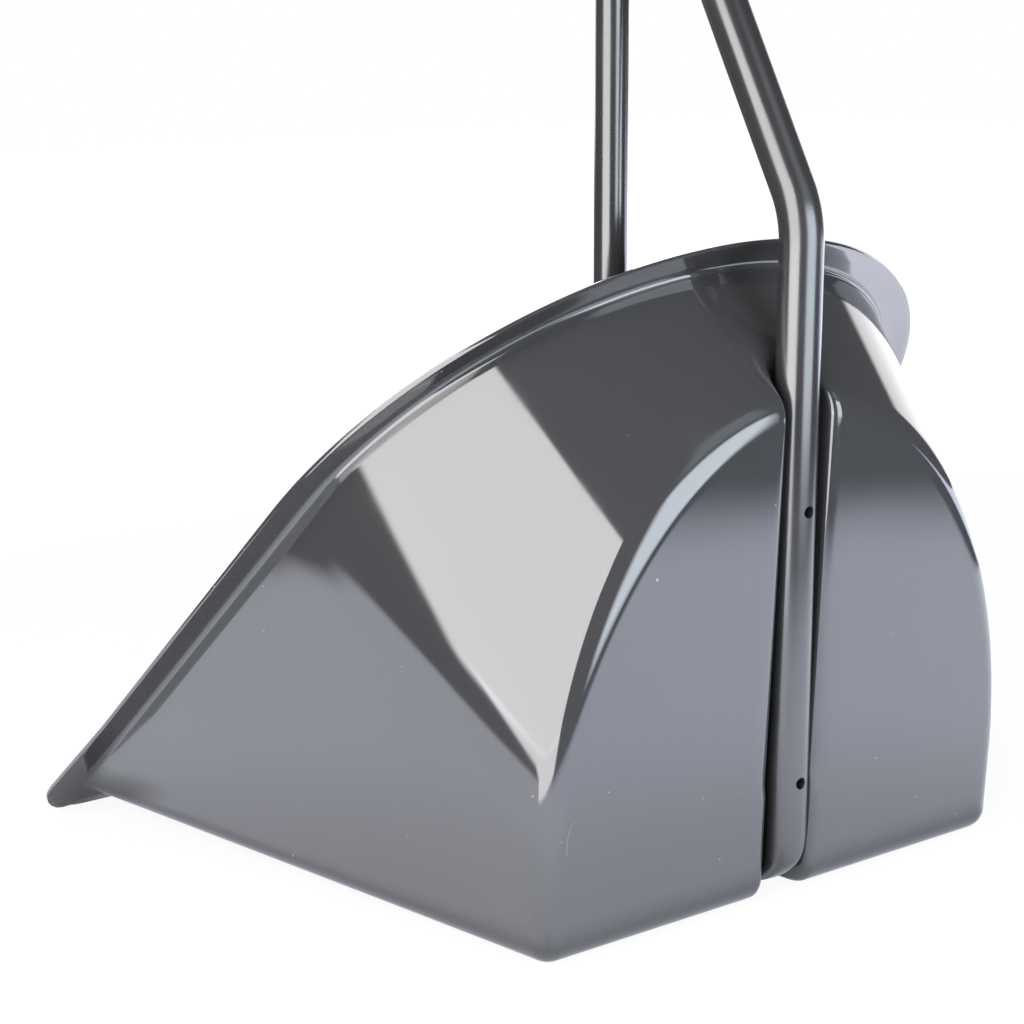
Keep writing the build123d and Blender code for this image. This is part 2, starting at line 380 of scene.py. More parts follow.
def square_round(corner, edge, first, second, radius):
    """A round square to an edge: start on the first face, corner, end on the second, weight."""
    across = second - edge * second.dot(edge)
    half = first.angle(across) / 2
    reach = radius / tan(half)
    end = corner + second * (reach / across.length)
    foot = corner + edge * (end - corner).dot(edge)
    return foot + first * reach, foot, end, sin(half)


def smooth(share):
    """From 0 to 1 without a kink at either end, and level outside."""
    share = min(max(share, 0), 1)
    return share * share * (3 - 2 * share)


def soft_positive(value, softness):
    """The value where it is well above 0, and 0 well below, with a soft bend between."""
    if value > softness:
        return value
    return max(value + softness, 0) ** 2 / (4 * softness)


class PanSheet:
    """Outer face of the pan as one sheet of quads: back wall, rounds, walls, groove and flange."""

    # Rows from the back wall to the rim, and columns from the base's middle round to the arch's
    REAR_ROWS, WALL_ROWS, ROOT_ROWS = 10, 46, 5
    LOBE_COLUMNS, CORNER_COLUMNS, SIDE_COLUMNS, ARCH_COLUMNS = 24, 8, 8, 34
    GROOVE_COLUMNS = (3, 6, 2, 8, 4)
    # Share of the flange's width at its first row, and share of its side over which it starts to hang
    FLANGE_ROW, DROOP_SHARE = 0.4, 0.25
    # Angle up the arch where the upper columns start, and rounds of the search for a place on it
    ARCH_SPLIT, ARCH_GUESSES = radians(45), 5
    # Room for the groove's rounds in its depth, and where its end has run out, in end rounds
    ROUND_ROOM, RUN_OUT = 1.01, 1.4
    # Steps for directions along a wall's edge and along its run, and how close points are one
    EDGE_STEP, RUN_STEP, MERGE = 0.004, 0.02, 2e-6

    def __init__(self, pan):
        self.pan = pan
        slope, lean = pan.mouth_slope, pan.back_lean
        rise = pan.flange * sin(slope)
        base = atan2(rise, pan.depth - pan.flange * cos(slope))
        heel = (tan(lean) * pan.edge / cos(base) - pan.edge / cos(lean)) / (1 + tan(base) * tan(lean))
        self.drop = pan.edge / cos(base) - tan(base) * heel - pan.edge
        self.base_up = Vector((0, sin(base), cos(base)))
        self.back_up = Vector((0, sin(lean), cos(lean)))
        self.mouth_up = Vector((0, cos(slope), sin(slope)))
        self.mouth_out = Vector((0, -sin(slope), cos(slope)))
        self.plan_arches()
        below = 2 * pan.wall
        foot = self.arch_half - (pan.arch_start + below) * tan(pan.back_draft)
        self.back_side = self.back(foot, -below), self.back(self.arch_half, pan.arch_start)
        front = pan.flange - below / sin(slope + base)
        taper, radius = self.taper, pan.mouth_arch
        side, shoulder = radius * cos(taper), self.arch_v + radius * sin(taper)
        front_side = side + (shoulder - front) * tan(taper)
        self.mouth_side = self.mouth(front_side, front), self.mouth(side, shoulder)
        self.base_edge = (self.side_line(1)[2] - self.side_line(0)[2]).normalized()
        self.plan_flange(side, shoulder)
        self.plan_groove(base)

    def plan_arches(self):
        """The mouth's arch, which its sides touch, and the back wall's, an ellipse that its sides touch."""
        pan = self.pan
        length = (pan.depth - pan.hood_depth) / cos(pan.mouth_slope) - pan.flange
        self.arch_v = pan.flange + length - pan.mouth_arch
        half, rise = pan.mouth_width / 2, length - pan.mouth_arch
        self.taper = acos(pan.mouth_arch / hypot(half, rise)) - atan2(rise, half)
        self.arch_half = pan.base_width / 2 + pan.arch_start * tan(pan.back_draft)
        rise = pan.back_height - pan.arch_start
        steepness = tan(pan.back_draft) * rise / self.arch_half
        self.dip = asin(steepness / (1 + steepness))
        self.arch_wide = self.arch_half / cos(self.dip)
        self.arch_high = rise / (1 + sin(self.dip))

    def back(self, across, up):
        """A point of the back wall's plane."""
        return Vector((across, self.pan.rear, -self.drop)) + self.back_up * up

    def mouth(self, across, up):
        """A point of the mouth's plane."""
        return Vector((across, self.pan.rear - self.pan.depth, 0)) + self.mouth_up * up

    def plan_flange(self, side, shoulder):
        """The flange's outer corner, round its front end, and its rows from the root to the edge."""
        pan = self.pan
        across = side + pan.flange / cos(self.taper) + shoulder * tan(self.taper)
        up_side = Vector((-sin(self.taper), cos(self.taper)))
        half = (pi / 2 - self.taper) / 2
        reach = pan.flange_corner / tan(half)
        corner = Vector((across, 0))
        self.flange_round = corner - Vector((reach, 0)), corner, corner + up_side * reach, sin(half)
        out = Vector((cos(self.taper), sin(self.taper)))
        self.flange_shoulder = Vector((side, shoulder)) + out * pan.flange
        root = self.frame(("band", 0.0))["root"][0]
        root_up = (root - self.mouth(0, 0)).dot(self.mouth_up)
        ground = pan.wall / tan(pan.mouth_slope)
        self.flange_rows = (self.FLANGE_ROW, 1 - ground / root_up, 1.0)

    def plan_groove(self, base):
        """The groove's frame on the handle's lower tube, and the depth that its rounds need."""
        pan = self.pan
        self.tube_foot = Vector((0, pan.rear - pan.tube_inset, 0))
        self.tube_up = Vector((0, sin(pan.tube_lean), cos(pan.tube_lean)))
        self.tube_back = Vector((0, cos(pan.tube_lean), -sin(pan.tube_lean)))
        self.floor = -pan.tube / 2 - pan.tube_seat
        base_there = (pan.tube_inset - self.floor + pan.groove_end) * tan(base) - self.drop
        self.turn = base_there + pan.groove_end * cos(pan.groove_end_angle)
        self.sweep = pi / 2 - pan.groove_end_angle
        self.round_reach = tan((pi / 2 - pan.groove_draft) / 2)
        rounds = (pan.groove_lip + pan.groove_floor) * self.round_reach
        self.least_depth = self.ROUND_ROOM * rounds * cos(pan.groove_draft)

    def side_line(self, t):
        """Ends of a side wall's line, t of the way from back to mouth, and where it meets the base."""
        low, high = (a.lerp(b, t) for a, b in zip(self.back_side, self.mouth_side))
        over_base = [(end - self.back(0, 0)).dot(self.base_up) for end in (low, high)]
        return low, high, low.lerp(high, over_base[0] / (over_base[0] - over_base[1]))

    def base_corner(self, t):
        """Round between the base and a side wall, t of the way from the back to the mouth."""
        low, high, corner = self.side_line(t)
        ways = [-X_AXIS, (high - low).normalized()]
        across = [way - self.base_edge * way.dot(self.base_edge) for way in ways]
        half = across[0].angle(across[1]) / 2
        ends = [corner + way * (self.pan.edge / tan(half) / part.length) for way, part in zip(ways, across)]
        return ends[0], corner, ends[1], sin(half)

    def wall(self, station, t):
        """A point of the walls before the rear and root rounds."""
        kind, value = station
        if kind == "arch":
            turn = -self.dip + (pi + 2 * self.dip) * value / pi
            up = self.pan.arch_start + self.arch_high * (sin(self.dip) + sin(turn))
            return self.back(self.arch_wide * cos(turn), up).lerp(self.mouth(*self.mouth_arch(value, 0)), t)
        start, corner, end, weight = self.base_corner(t)
        if kind == "band":
            return Vector((value, start.y, start.z))
        if kind == "base":
            return Vector((self.pan.band + (start.x - self.pan.band) * value, start.y, start.z))
        if kind == "corner":
            return conic(start, corner, end, weight, value)
        high = self.back_side[1].lerp(self.mouth_side[1], t)
        return end.lerp(high, value)

    def mouth_arch(self, value, grow):
        """A point of the mouth's arch, grown outwards, in the mouth's plane."""
        turn = self.taper + (pi - 2 * self.taper) * value / pi
        radius = self.pan.mouth_arch + grow
        return radius * cos(turn), self.arch_v + radius * sin(turn)

    def tangent(self, station, t):
        """Direction along the walls' edge: out along the base, up the side, in over the arch."""
        kind, value = station
        if kind in ("band", "base"):
            return X_AXIS
        low, high = max(value - self.EDGE_STEP, 0), value + self.EDGE_STEP
        if kind != "arch":
            high = min(high, 1)
        return (self.wall((kind, high), t) - self.wall((kind, low), t)).normalized()

    def frame(self, station):
        """The rounds at both ends of a wall column, and where they leave the wall."""
        step = self.RUN_STEP
        start = self.wall(station, 0)
        run = (self.wall(station, step) - start) / step
        edge = self.tangent(station, 0)
        inwards = self.back_up * edge.dot(X_AXIS) - X_AXIS * edge.dot(self.back_up)
        rear = square_round(start, edge, inwards, run.normalized(), self.rear_round(station))
        rear_t = (rear[2] - start).length / run.length

        def under_flange(t):
            return (self.wall(station, t) - self.mouth(0, 0)).dot(self.mouth_out) + self.pan.wall

        near, far = 1 - step, 1.0
        meet = near + step * under_flange(near) / (under_flange(near) - under_flange(far))
        start = self.wall(station, meet)
        run = (start - self.wall(station, meet - step)) / step
        edge = self.tangent(station, 1)
        outwards = X_AXIS * edge.dot(self.mouth_up) - self.mouth_up * edge.dot(X_AXIS)
        droop = self.droop(station)
        outwards = outwards * cos(droop) - self.mouth_out * sin(droop)
        root = square_round(start, edge, outwards, -run.normalized(), self.pan.flange_root)
        root_t = meet - (root[2] - start).length / run.length
        return {"rear": rear, "rear_t": rear_t, "root": root, "root_t": root_t}

    def rear_round(self, station):
        """Radius of the round between the back wall and the walls: it grows up the arch."""
        pan = self.pan
        kind, value = station
        if kind != "arch":
            return pan.edge
        return pan.edge + (pan.arch_edge - pan.edge) * smooth(min(value, pi - value) / pan.arch_edge_angle)

    def flange_edge(self, station):
        """The flange's outer edge, on its under face."""
        kind, value = station
        start, corner, end, weight = self.flange_round
        if kind == "arch":
            place = Vector(self.mouth_arch(value, self.pan.flange))
        elif kind == "side":
            place = end.lerp(self.flange_shoulder, value)
        elif kind == "corner":
            place = conic(start, corner, end, weight, value)
        else:
            across = value if kind == "band" else self.pan.band + (start.x - self.pan.band) * value
            place = Vector((across, 0))
        drop = self.pan.wall + self.pan.flange * tan(self.droop(station))
        return self.mouth(place.x, place.y) - self.mouth_out * drop

    def droop(self, station):
        """How far the flange hangs out of the mouth's plane: not at the lip, fully a little way up."""
        kind, value = station
        if kind == "arch":
            return self.pan.flange_droop
        return self.pan.flange_droop * smooth(value / self.DROOP_SHARE) if kind == "side" else 0.0

    def rows(self):
        return self.REAR_ROWS + self.WALL_ROWS + self.ROOT_ROWS + len(self.flange_rows)

    def ring(self, station, row, frame=None):
        """A point of the sheet round the back wall: row 0 is on the back wall, the last at the rim."""
        frame = frame or self.frame(station)
        if row <= self.REAR_ROWS:
            return conic(*frame["rear"], row / self.REAR_ROWS)
        row -= self.REAR_ROWS
        if row < self.WALL_ROWS:
            span = frame["root_t"] - frame["rear_t"]
            return self.wall(station, frame["rear_t"] + span * row / self.WALL_ROWS)
        row -= self.WALL_ROWS
        if row <= self.ROOT_ROWS:
            return conic(*frame["root"], 1 - row / self.ROOT_ROWS)
        share = self.flange_rows[row - self.ROOT_ROWS - 1]
        return frame["root"][0].lerp(self.flange_edge(station), share)

    def arch_at(self, across, row):
        """The arch's angle at which that row of the sheet is that far from the middle."""
        low, high = self.ARCH_SPLIT, pi / 2
        low_x, high_x = self.ring(("arch", low), row).x, 0.0
        guess = high
        for _ in range(self.ARCH_GUESSES):
            guess = low + (high - low) * (low_x - across) / (low_x - high_x)
            x = self.ring(("arch", guess), row).x
            if x > across:
                low, low_x = guess, x
            else:
                high, high_x = guess, x
        return guess

    def groove_section(self, depth, melt=0.0):
        """Half of the groove's section, sharp or melted: distances from the middle, shares of the depth."""
        pan = self.pan
        depth = max(depth, self.least_depth)
        lean = Vector((sin(pan.groove_draft), -cos(pan.groove_draft)))
        weight = cos((pi / 2 - pan.groove_draft) / 2)
        floor_reach, lip_reach = pan.groove_floor * self.round_reach, pan.groove_lip * self.round_reach
        low = Vector((pan.groove_width / 2, depth))
        high = low + lean * (depth / cos(pan.groove_draft))
        stops = [
            Vector((0, depth)),
            low - Vector((floor_reach, 0)),
            low + lean * floor_reach,
            high - lean * lip_reach,
            high + Vector((lip_reach, 0)),
            Vector((pan.band, 0)),
        ]
        corners = [None, low, None, high, None]
        points = [stops[0]]
        for start, end, corner, count in zip(stops, stops[1:], corners, self.GROOVE_COLUMNS):
            for step in range(1, count + 1):
                share = step / count
                point = conic(start, corner, end, weight, share) if corner else start.lerp(end, share)
                points.append(point)
        return [(p.x, p.y / depth * (1 - melt) + (1 - smooth(p.x / pan.band)) * melt) for p in points]

    def melt(self, depth):
        """How far the groove's section has melted to a soft dip where it is only that deep."""
        return smooth((self.pan.groove_melt - depth) / self.pan.groove_melt)

    def groove_depth(self, point):
        """How far the groove is pressed in at a point of the plain body."""
        return soft_positive((point - self.tube_foot).dot(self.tube_back) - self.floor, self.pan.groove_fade)

    def in_tube_frame(self, point):
        """How far a point lies behind the tube's axis, and up the tube."""
        place = point - self.tube_foot
        return Vector((place.dot(self.tube_back), place.dot(self.tube_up)))

    def floor_path(self, start_up, end, length):
        """A point that far down the groove's floor, round its turn and out along the base."""
        radius = self.pan.groove_end
        straight = start_up - self.turn
        if length < straight:
            return Vector((self.floor, start_up - length))
        angle = min((length - straight) / radius, self.sweep)
        point = Vector((self.floor - radius + radius * cos(angle), self.turn - radius * sin(angle)))
        left = length - straight - radius * angle
        if left > 0:
            point += (end - point).normalized() * left
        return point

    def foot_shifts(self, middle):
        """Moves of the body's middle line, down the back and under, to the groove's floor."""
        flat = [self.in_tube_frame(point) for point in middle]
        lengths = [0.0]
        for before, after in zip(flat, flat[1:]):
            lengths.append(lengths[-1] + (after - before).length)
        to_turn = flat[0].y - self.turn + self.pan.groove_end * self.sweep
        turned = self.floor_path(flat[0].y, flat[-1], to_turn)
        floor_length = to_turn + (flat[-1] - turned).length
        shifts = []
        for place, length in zip(flat, lengths):
            move = self.floor_path(flat[0].y, flat[-1], length / lengths[-1] * floor_length) - place
            shifts.append(self.tube_back * move.x + self.tube_up * move.y)
        return shifts

    def half_grids(self):
        """Points of the half at +X: columns of the back wall, and columns of the ring round it."""
        rows = range(self.rows() + 1)
        walls, rear_corner = self.wall_columns(rows)
        low_middle = [self.ring(("band", 0.0), row) for row in rows]
        top_middle = [self.ring(("arch", pi / 2), row) for row in rows]
        sides = walls[self.LOBE_COLUMNS + self.CORNER_COLUMNS :]
        side = [rear_corner] + [column[0] for column in sides]
        heights = [(point - side[0]).dot(self.back_up) for point in side]
        shares = [height / heights[-1] for height in heights]
        middle = [low_middle[0].lerp(top_middle[0], share) for share in shares]
        back_shifts, row_shifts = self.groove_shifts(middle, low_middle)
        low_groove = self.low_groove(rows, row_shifts)
        arch, top_groove = self.top_columns(top_middle)
        groove = self.back_groove(middle, shares, back_shifts)
        groove[0], groove[-1] = ([column[0] for column in columns] for columns in (low_groove, top_groove))
        cap = list(zip(*groove))
        cap += self.lobe_columns(cap[-1], side, walls, arch, shares)
        return cap, low_groove + walls + arch + top_groove[-2::-1]

    def wall_columns(self, rows):
        """Columns of the base, its corner, the side and the lower arch, and where the rear rounds meet."""
        ends = [self.frame(station)["rear"][0] for station in (("base", 1.0), ("side", 0.0))]
        rear_corner = ends[0].lerp(ends[1], 0.5)
        counts = {
            "base": (self.LOBE_COLUMNS, 1),
            "corner": (self.CORNER_COLUMNS, 1),
            "side": (self.SIDE_COLUMNS, 1),
            "arch": (self.ARCH_COLUMNS, self.ARCH_SPLIT),
        }
        columns = []
        for kind, (count, span) in counts.items():
            for step in range(1, count + 1):
                station = kind, span * step / count
                frame = self.frame(station)
                if kind == "corner" or station == ("base", 1.0):
                    frame["rear"] = (rear_corner, *frame["rear"][1:])
                columns.append([self.ring(station, row, frame) for row in rows])
        return columns, rear_corner

    def groove_shifts(self, middle, low_middle):
        """Those moves by the number of a point up the back wall, and by row under it."""
        top, end = self.pan.groove_zone, self.floor - self.RUN_OUT * self.pan.groove_end
        first = next(k for k, point in enumerate(middle) if self.in_tube_frame(point).y > top)
        last = next(row for row, point in enumerate(low_middle) if self.in_tube_frame(point).x < end)
        shifts = self.foot_shifts(middle[first:0:-1] + low_middle[: last + 1])
        return dict(zip(range(first, 0, -1), shifts)), dict(enumerate(shifts[first:]))

    def low_groove(self, rows, shifts):
        """Columns of the groove's strip under the back wall and along the base."""
        strips = []
        for row in rows:
            shift = shifts.get(row, Vector((0, 0, 0)))
            section = self.groove_section(shift.length)
            strips.append([self.ring(("band", across), row) + shift * share for across, share in section])
        return list(zip(*strips))

    def top_columns(self, top_middle):
        """Columns of the upper arch, and of the groove's strip over it."""
        arches, strips = [], []
        for row, middle in enumerate(top_middle):
            span = self.arch_at(self.pan.band, row) - self.ARCH_SPLIT
            steps = range(1, self.LOBE_COLUMNS + 1)
            angles = [self.ARCH_SPLIT + span * step / self.LOBE_COLUMNS for step in steps]
            arches.append([self.ring(("arch", angle), row) for angle in angles])
            depth = self.groove_depth(middle)
            strip = []
            for across, share in self.groove_section(depth, self.melt(depth)):
                point = self.ring(("arch", self.arch_at(across, row)), row)
                strip.append(point - self.tube_back * (share * self.groove_depth(point)))
            strips.append(strip)
        return list(zip(*arches)), list(zip(*strips))

    def back_groove(self, middle, shares, shifts):
        """Strips of the groove across the back wall, one for each point up its middle."""
        low_up = (middle[0] - self.back(0, 0)).dot(self.back_up)
        strips = []
        for k, point in enumerate(middle):
            shift = shifts.get(k)
            depth = shift.length if shift else self.groove_depth(point)
            strip = []
            for across, share in self.groove_section(depth, 0.0 if shift else self.melt(depth)):
                up = low_up * (1 - shares[k]) + self.arch_height(across) * shares[k]
                body = self.back(across, 0) + self.back_up * up
                move = shift * share if shift else -self.tube_back * (share * self.groove_depth(body))
                strip.append(body + move)
            strips.append(strip)
        return strips

    def lobe_columns(self, inner, side, walls, arch, shares):
        """Columns of the back wall between the groove's strip and the side, spanned from its four edges."""
        columns = []
        for step in range(1, self.LOBE_COLUMNS):
            over = step / self.LOBE_COLUMNS
            low, high = walls[step - 1][0], arch[self.LOBE_COLUMNS - 1 - step][0]
            bottom, top = (inner[end].lerp(side[end], over) for end in (0, -1))
            column = []
            for near, far, share in zip(inner, side, shares):
                column.append(low.lerp(high, share) + near.lerp(far, over) - bottom.lerp(top, share))
            columns.append(column)
        return columns + [side]

    def arch_height(self, across):
        """Height up the back wall of the rear round's upper end at that distance from the middle."""
        point = self.ring(("arch", self.arch_at(across, 0)), 0)
        return (point - self.back(0, 0)).dot(self.back_up)

    def mesh(self, name):
        """The whole sheet, both halves merged, with its faces turned outwards."""
        build = bmesh.new()
        for grid in self.half_grids():
            for mirror in (1, -1):
                points = [[build.verts.new((mirror * p.x, p.y, p.z)) for p in column] for column in grid]
                for left, right in zip(points, points[1:]):
                    for low, high in zip(range(len(left)), range(1, len(left))):
                        build.faces.new((left[low], right[low], right[high], left[high]))
        bmesh.ops.remove_doubles(build, verts=build.verts, dist=self.MERGE)
        bmesh.ops.recalc_face_normals(build, faces=build.faces)
        rear = max(build.faces, key=lambda face: face.calc_center_median().y)
        if rear.normal.y < 0:
            bmesh.ops.reverse_faces(build, faces=build.faces)
        made = bpy.data.meshes.new(name)
        build.to_mesh(made)
        build.free()
        return made


class PanSettings(bpy.types.PropertyGroup):
    """Sizes of the pan, and the finish of its glossy sheet."""

    depth: a_length("Depth", "Lip edge to rear bottom edge, along the ground", 0.3175)
    rear: a_length("Rear", "Rear bottom edge behind the origin", 0.1535)
    wall: a_length("Wall", "Sheet thickness", 0.003)
    base_width: a_length("Base width", "Base at the back wall", 0.282)
    back_height: a_length("Back height", "Top of the back wall's arch", 0.236)
    arch_start: a_length("Arch start", "Height where the back wall's sides start to arch", 0.033)
    back_lean: an_angle("Back lean", "Lean of the back wall", 2.6)
    back_draft: an_angle("Back draft", "Spread of the back wall's sides", 1.9)
    mouth_width: a_length("Mouth width", "Between the outer wall faces at the front", 0.428)
    hood_depth: a_length("Hood depth", "Top of the mouth in front of the rear bottom edge", 0.040)
    mouth_arch: a_length("Mouth arch", "Radius of the outer wall face round the top of the mouth", 0.1766)
    mouth_slope: an_angle("Mouth slope", "Mouth plane to the ground", 46.7)
    flange: a_length("Flange", "Width of the flange", 0.0165)
    flange_corner: a_length("Flange corner", "Front corners of the flange", 0.024)
    flange_root: a_length("Flange root", "Round between flange and wall", 0.003)
    flange_droop: an_angle("Flange droop", "How far the flange hangs out of the mouth's plane", 8)
    edge: a_length("Edge round", "Outer rounds of the base and the back wall", 0.012)
    arch_edge: a_length("Arch round", "Round that the back wall's edge grows to over its arch", 0.0175)
    arch_edge_angle: an_angle("Arch round angle", "How far up the arch that round is fully grown", 50)
    band: a_length("Band", "Half of the strip that holds the groove", 0.026)
    groove_width: a_length("Groove width", "Floor of the handle's groove", 0.025)
    groove_draft: an_angle("Groove draft", "Sides of the groove open outwards", 4)
    groove_floor: a_length("Groove floor round", "Corners of the groove's floor", 0.006)
    groove_lip: a_length("Groove lip round", "Lips of the groove", 0.005)
    groove_end: a_length("Groove end round", "The groove's floor curves forward under the base", 0.020)
    groove_end_angle: an_angle("Groove end angle", "Angle at which the groove leaves the base", 24)
    groove_zone: a_length("Groove foot", "Height of the stretch that leads into the curve", 0.05)
    groove_fade: a_length("Groove fade", "Softness of the groove's run-out on the hood", 0.005)
    groove_melt: a_length("Groove melt", "Depth below which the groove's section melts to a soft dip", 0.020)
    tube: a_length("Tube", "Diameter of the handle tube", 0.020)
    tube_inset: a_length("Tube inset", "Tube axis in front of the rear bottom edge", 0.0015)
    tube_seat: a_length("Tube seat", "Tube to the groove's floor", 0.0001)
    tube_lean: an_angle("Tube lean", "Lower tube and groove lean back", 0.37)
    rim: a_length("Rim", "Thickness that the sheet is drawn down to at its rim", 0.0018)
    rim_bevel: a_length("Rim bevel", "Broken edges of the trimmed rim", 0.0006)
    colour: a_colour("Colour", "Charcoal of the sheet", 0.032, 0.032, 0.034)
    cut_colour: a_colour("Cut", "Trimmed edge of the sheet", 0.075, 0.075, 0.078)
    dust_colour: a_colour("Dust", "Colour of dust specks", 0.42, 0.41, 0.40)
    gloss: a_level("Roughness", "Roughness of the clean sheet", 0.055)
    index: a_level("Index", "Refractive index of the glossy skin", 1.75)
    smudge: a_level("Smudge", "How much rougher the sheet is where it is smudged", 0.035)
    dust: a_level("Dust cover", "How well a speck of dust covers the sheet", 0.45)
    scratch: a_level("Scratch", "How plain the hairline scratches are", 0.2)
    dull: a_level("Dullness", "How much rougher dust and scratches are", 0.8)
    cut_gloss: a_level("Cut roughness", "Roughness of the trimmed edge", 0.12)
    cut_grain: a_level("Cut grain", "How much rougher the grain of that edge is", 0.1)
    ripple: a_length("Ripple", "Depth of the slow ripples left by forming", 0.00012)
    streak: a_length("Streak", "Depth of the drawn folds where the side walls start to arch", 0.0007)


class TubeSettings(bpy.types.PropertyGroup):
    """Form of the handle's tube, and the finish of both painted tubes."""

    bend_height: a_length("Bend height", "Corner of the handle's bend, up its lower tube", 0.318)
    bend_lean: an_angle("Bend lean", "Upper tube leans forward", 30)
    bend: a_length("Bend", "Radius of the handle's bend", 0.048)
    top: a_length("Top", "End of the handle's tube above the ground", 0.8)
    foot_top: a_length("Foot top", "Height where the pinched foot starts", 0.031)
    foot_end: a_length("Foot end", "Height where the pinched foot ends", 0.004)
    foot_flat: a_level("Foot flat", "Share of its depth that the pinched foot keeps", 0.22)
    foot_narrow: a_level("Foot narrow", "How much narrower the pinched foot is", 0.33)
    foot_fold: a_length("Foot fold", "Depth of the folds down the sides of the pinched foot", 0.0022)
    foot_follow: a_level("Foot follow", "How closely the foot follows the groove's turn", 0.9)
    hole: a_length("Holes", "Diameter of the drilled holes", 0.0056)
    hole_low: a_length("Low hole", "Height of the lower hole, up the tube", 0.058)
    hole_high: a_length("High hole", "Height of the upper hole, up the tube", 0.186)
    colour: a_colour("Colour", "Black of the paint", 0.022, 0.022, 0.023)
    chip_colour: a_colour("Chips", "Bare metal in paint chips", 0.62, 0.61, 0.60)
    chip: a_level("Chip depth", "How far a chip lays the metal bare", 0.8)
    gloss: a_level("Roughness", "Roughness of the paint", 0.19)
    cloud: a_level("Cloud", "How much rougher the paint is in places", 0.06)
    peel: a_length("Peel", "Depth of the paint's fine waves", 0.000006)
    index: a_level("Index", "Refractive index of the paint", 1.75)


class RakeSettings(bpy.types.PropertyGroup):
    """Forms of the rake's tines, and the finish of its head."""

    elbow: a_length("Elbow", "Rear of the bar to the corner of a tine's bend", 0.067)
    bend: a_length("Bend", "Radius of a tine's bend", 0.022)
    bead: a_length("Bead", "Thickness of the weld round a tine's root", 0.0026)
    point: a_level("Point", "Share of a tine that is drawn to a blunt point", 0.16)
    colour: a_colour("Colour", "Black of the paint", 0.024, 0.024, 0.025)
    bare_colour: a_colour("Bare", "Steel that use has laid bare", 0.36, 0.35, 0.34)
    gloss: a_level("Roughness", "Roughness of the paint", 0.26)
    worn_height: a_length("Worn height", "How far up from the points the paint is worn", 0.040)
    scuff: a_length("Scuff", "Depth of the scuffs", 0.00004)
    scuff_gloss: a_level("Scuff roughness", "How much rougher scuffed paint is", 0.12)
    bare_gloss: a_level("Bare roughness", "How much rougher bare steel is", 0.08)


class GripSettings(bpy.types.PropertyGroup):
    """Finish of the rubber grips."""

    colour: a_colour("Colour", "Black of the rubber", 0.028, 0.028, 0.029)
    gloss: a_level("Roughness", "Roughness of the rubber", 0.62)
    wear: a_level("Wear", "How much rougher worn rubber is", 0.18)
    grain: a_length("Grain", "Depth of the rubber's grain", 0.00005)


class SteelSettings(bpy.types.PropertyGroup):
    """Finish of the screws, washers and rivet."""

    colour: a_colour("Colour", "Zinc plating", 0.62, 0.62, 0.60)
    gloss: a_level("Roughness", "Roughness of the plating", 0.34)
    bloom: a_level("Bloom", "How much rougher the plating is in places", 0.15)


class StageSettings(bpy.types.PropertyGroup):
    """Camera, floor and light."""

    camera_place: FloatVectorProperty(
        name="Camera", description="Camera position", subtype="TRANSLATION", default=(0.7022, 0.8732, 0.4185)
    )
    yaw: an_angle("Yaw", "Turn of the view from -Y about Z", -37.05)
    pitch: an_angle("Pitch", "Tilt of the view below level", 13.18)
    roll: an_angle("Roll", "Roll of the camera", -0.23)
    lens: a_level("Lens", "Focal length on a 36 mm sensor", 80.16)
    floor_size: a_length("Floor", "Side of the floor", 9.0)
    floor_tint: a_colour("Floor tint", "White of the floor as gloss reflects it", 0.87, 0.91, 1.05)
    rear_tint: a_colour("Rear tint", "That white behind the scoop", 0.91, 0.975, 1.19)
    # The floor as gloss reflects it is a painted glow: lit oval, pool, spots and shadows below
    lit_middle: a_length("Lit middle", "Middle of the floor that gloss sees lit, along X", -0.10)
    lit_width: a_length("Lit width", "Half width of that floor", 0.92)
    lit_depth: a_length("Lit depth", "Half depth of that floor", 0.73)
    lit_fade: a_level("Lit fade", "Softness of the lit floor's edge", 0.14)
    rear_fade: a_level("Rear fade", "How much softer that edge is behind the scoop", 0.16)
    # Painted shadows in that glow: under the lip's corners and close to the pan's foot
    lip_shade: a_level("Lip shade", "How far the floor darkens under the lip's corners", 0.75)
    contact_shade: a_level("Contact shade", "How far the floor darkens close to the pan's foot", 0.6)
    # Painted bright spot in that glow, below the far flange
    flange_glow: a_level("Flange glow", "How much brighter the floor is that the far flange reflects", 0.5)
    # Painted pool of light in that glow, before the side softbox
    pool_level: a_level("Pool", "Brightness of the floor before the side softbox as gloss reflects it", 7.0)
    ambient: a_level("Ambient", "Level of the light from all round", 0.42)
    # Painted light and shade in that glow: the lit floor's brightness, and its painted shade towards the pan
    floor_gloss: a_level("Floor gloss", "Brightness of the lit floor as gloss reflects it", 3.45)
    floor_shade: a_level("Floor shade", "How far the lit floor darkens towards the pan", 0.3)
    room: a_level("Room", "Brightness of the dark room that gloss reflects", 0.14)
    backdrop: a_level("Backdrop", "Brightness of the backdrop that gloss reflects", 2.45)
    side_level: a_level("Side softbox", "Brightness of the tall softbox beside the scoop", 7.1)
    window_level: a_level("Window", "Brightness of the cool low softbox facing the back wall", 7.2)
    window_tint: a_colour("Window tint", "Colour of the low softbox", 0.82, 0.91, 1.0)
    upper_level: a_level("Upper window", "Brightness of the dim softbox above the window", 0.9)
    top_level: a_level("Top softbox", "Brightness of the softbox overhead", 2.2)


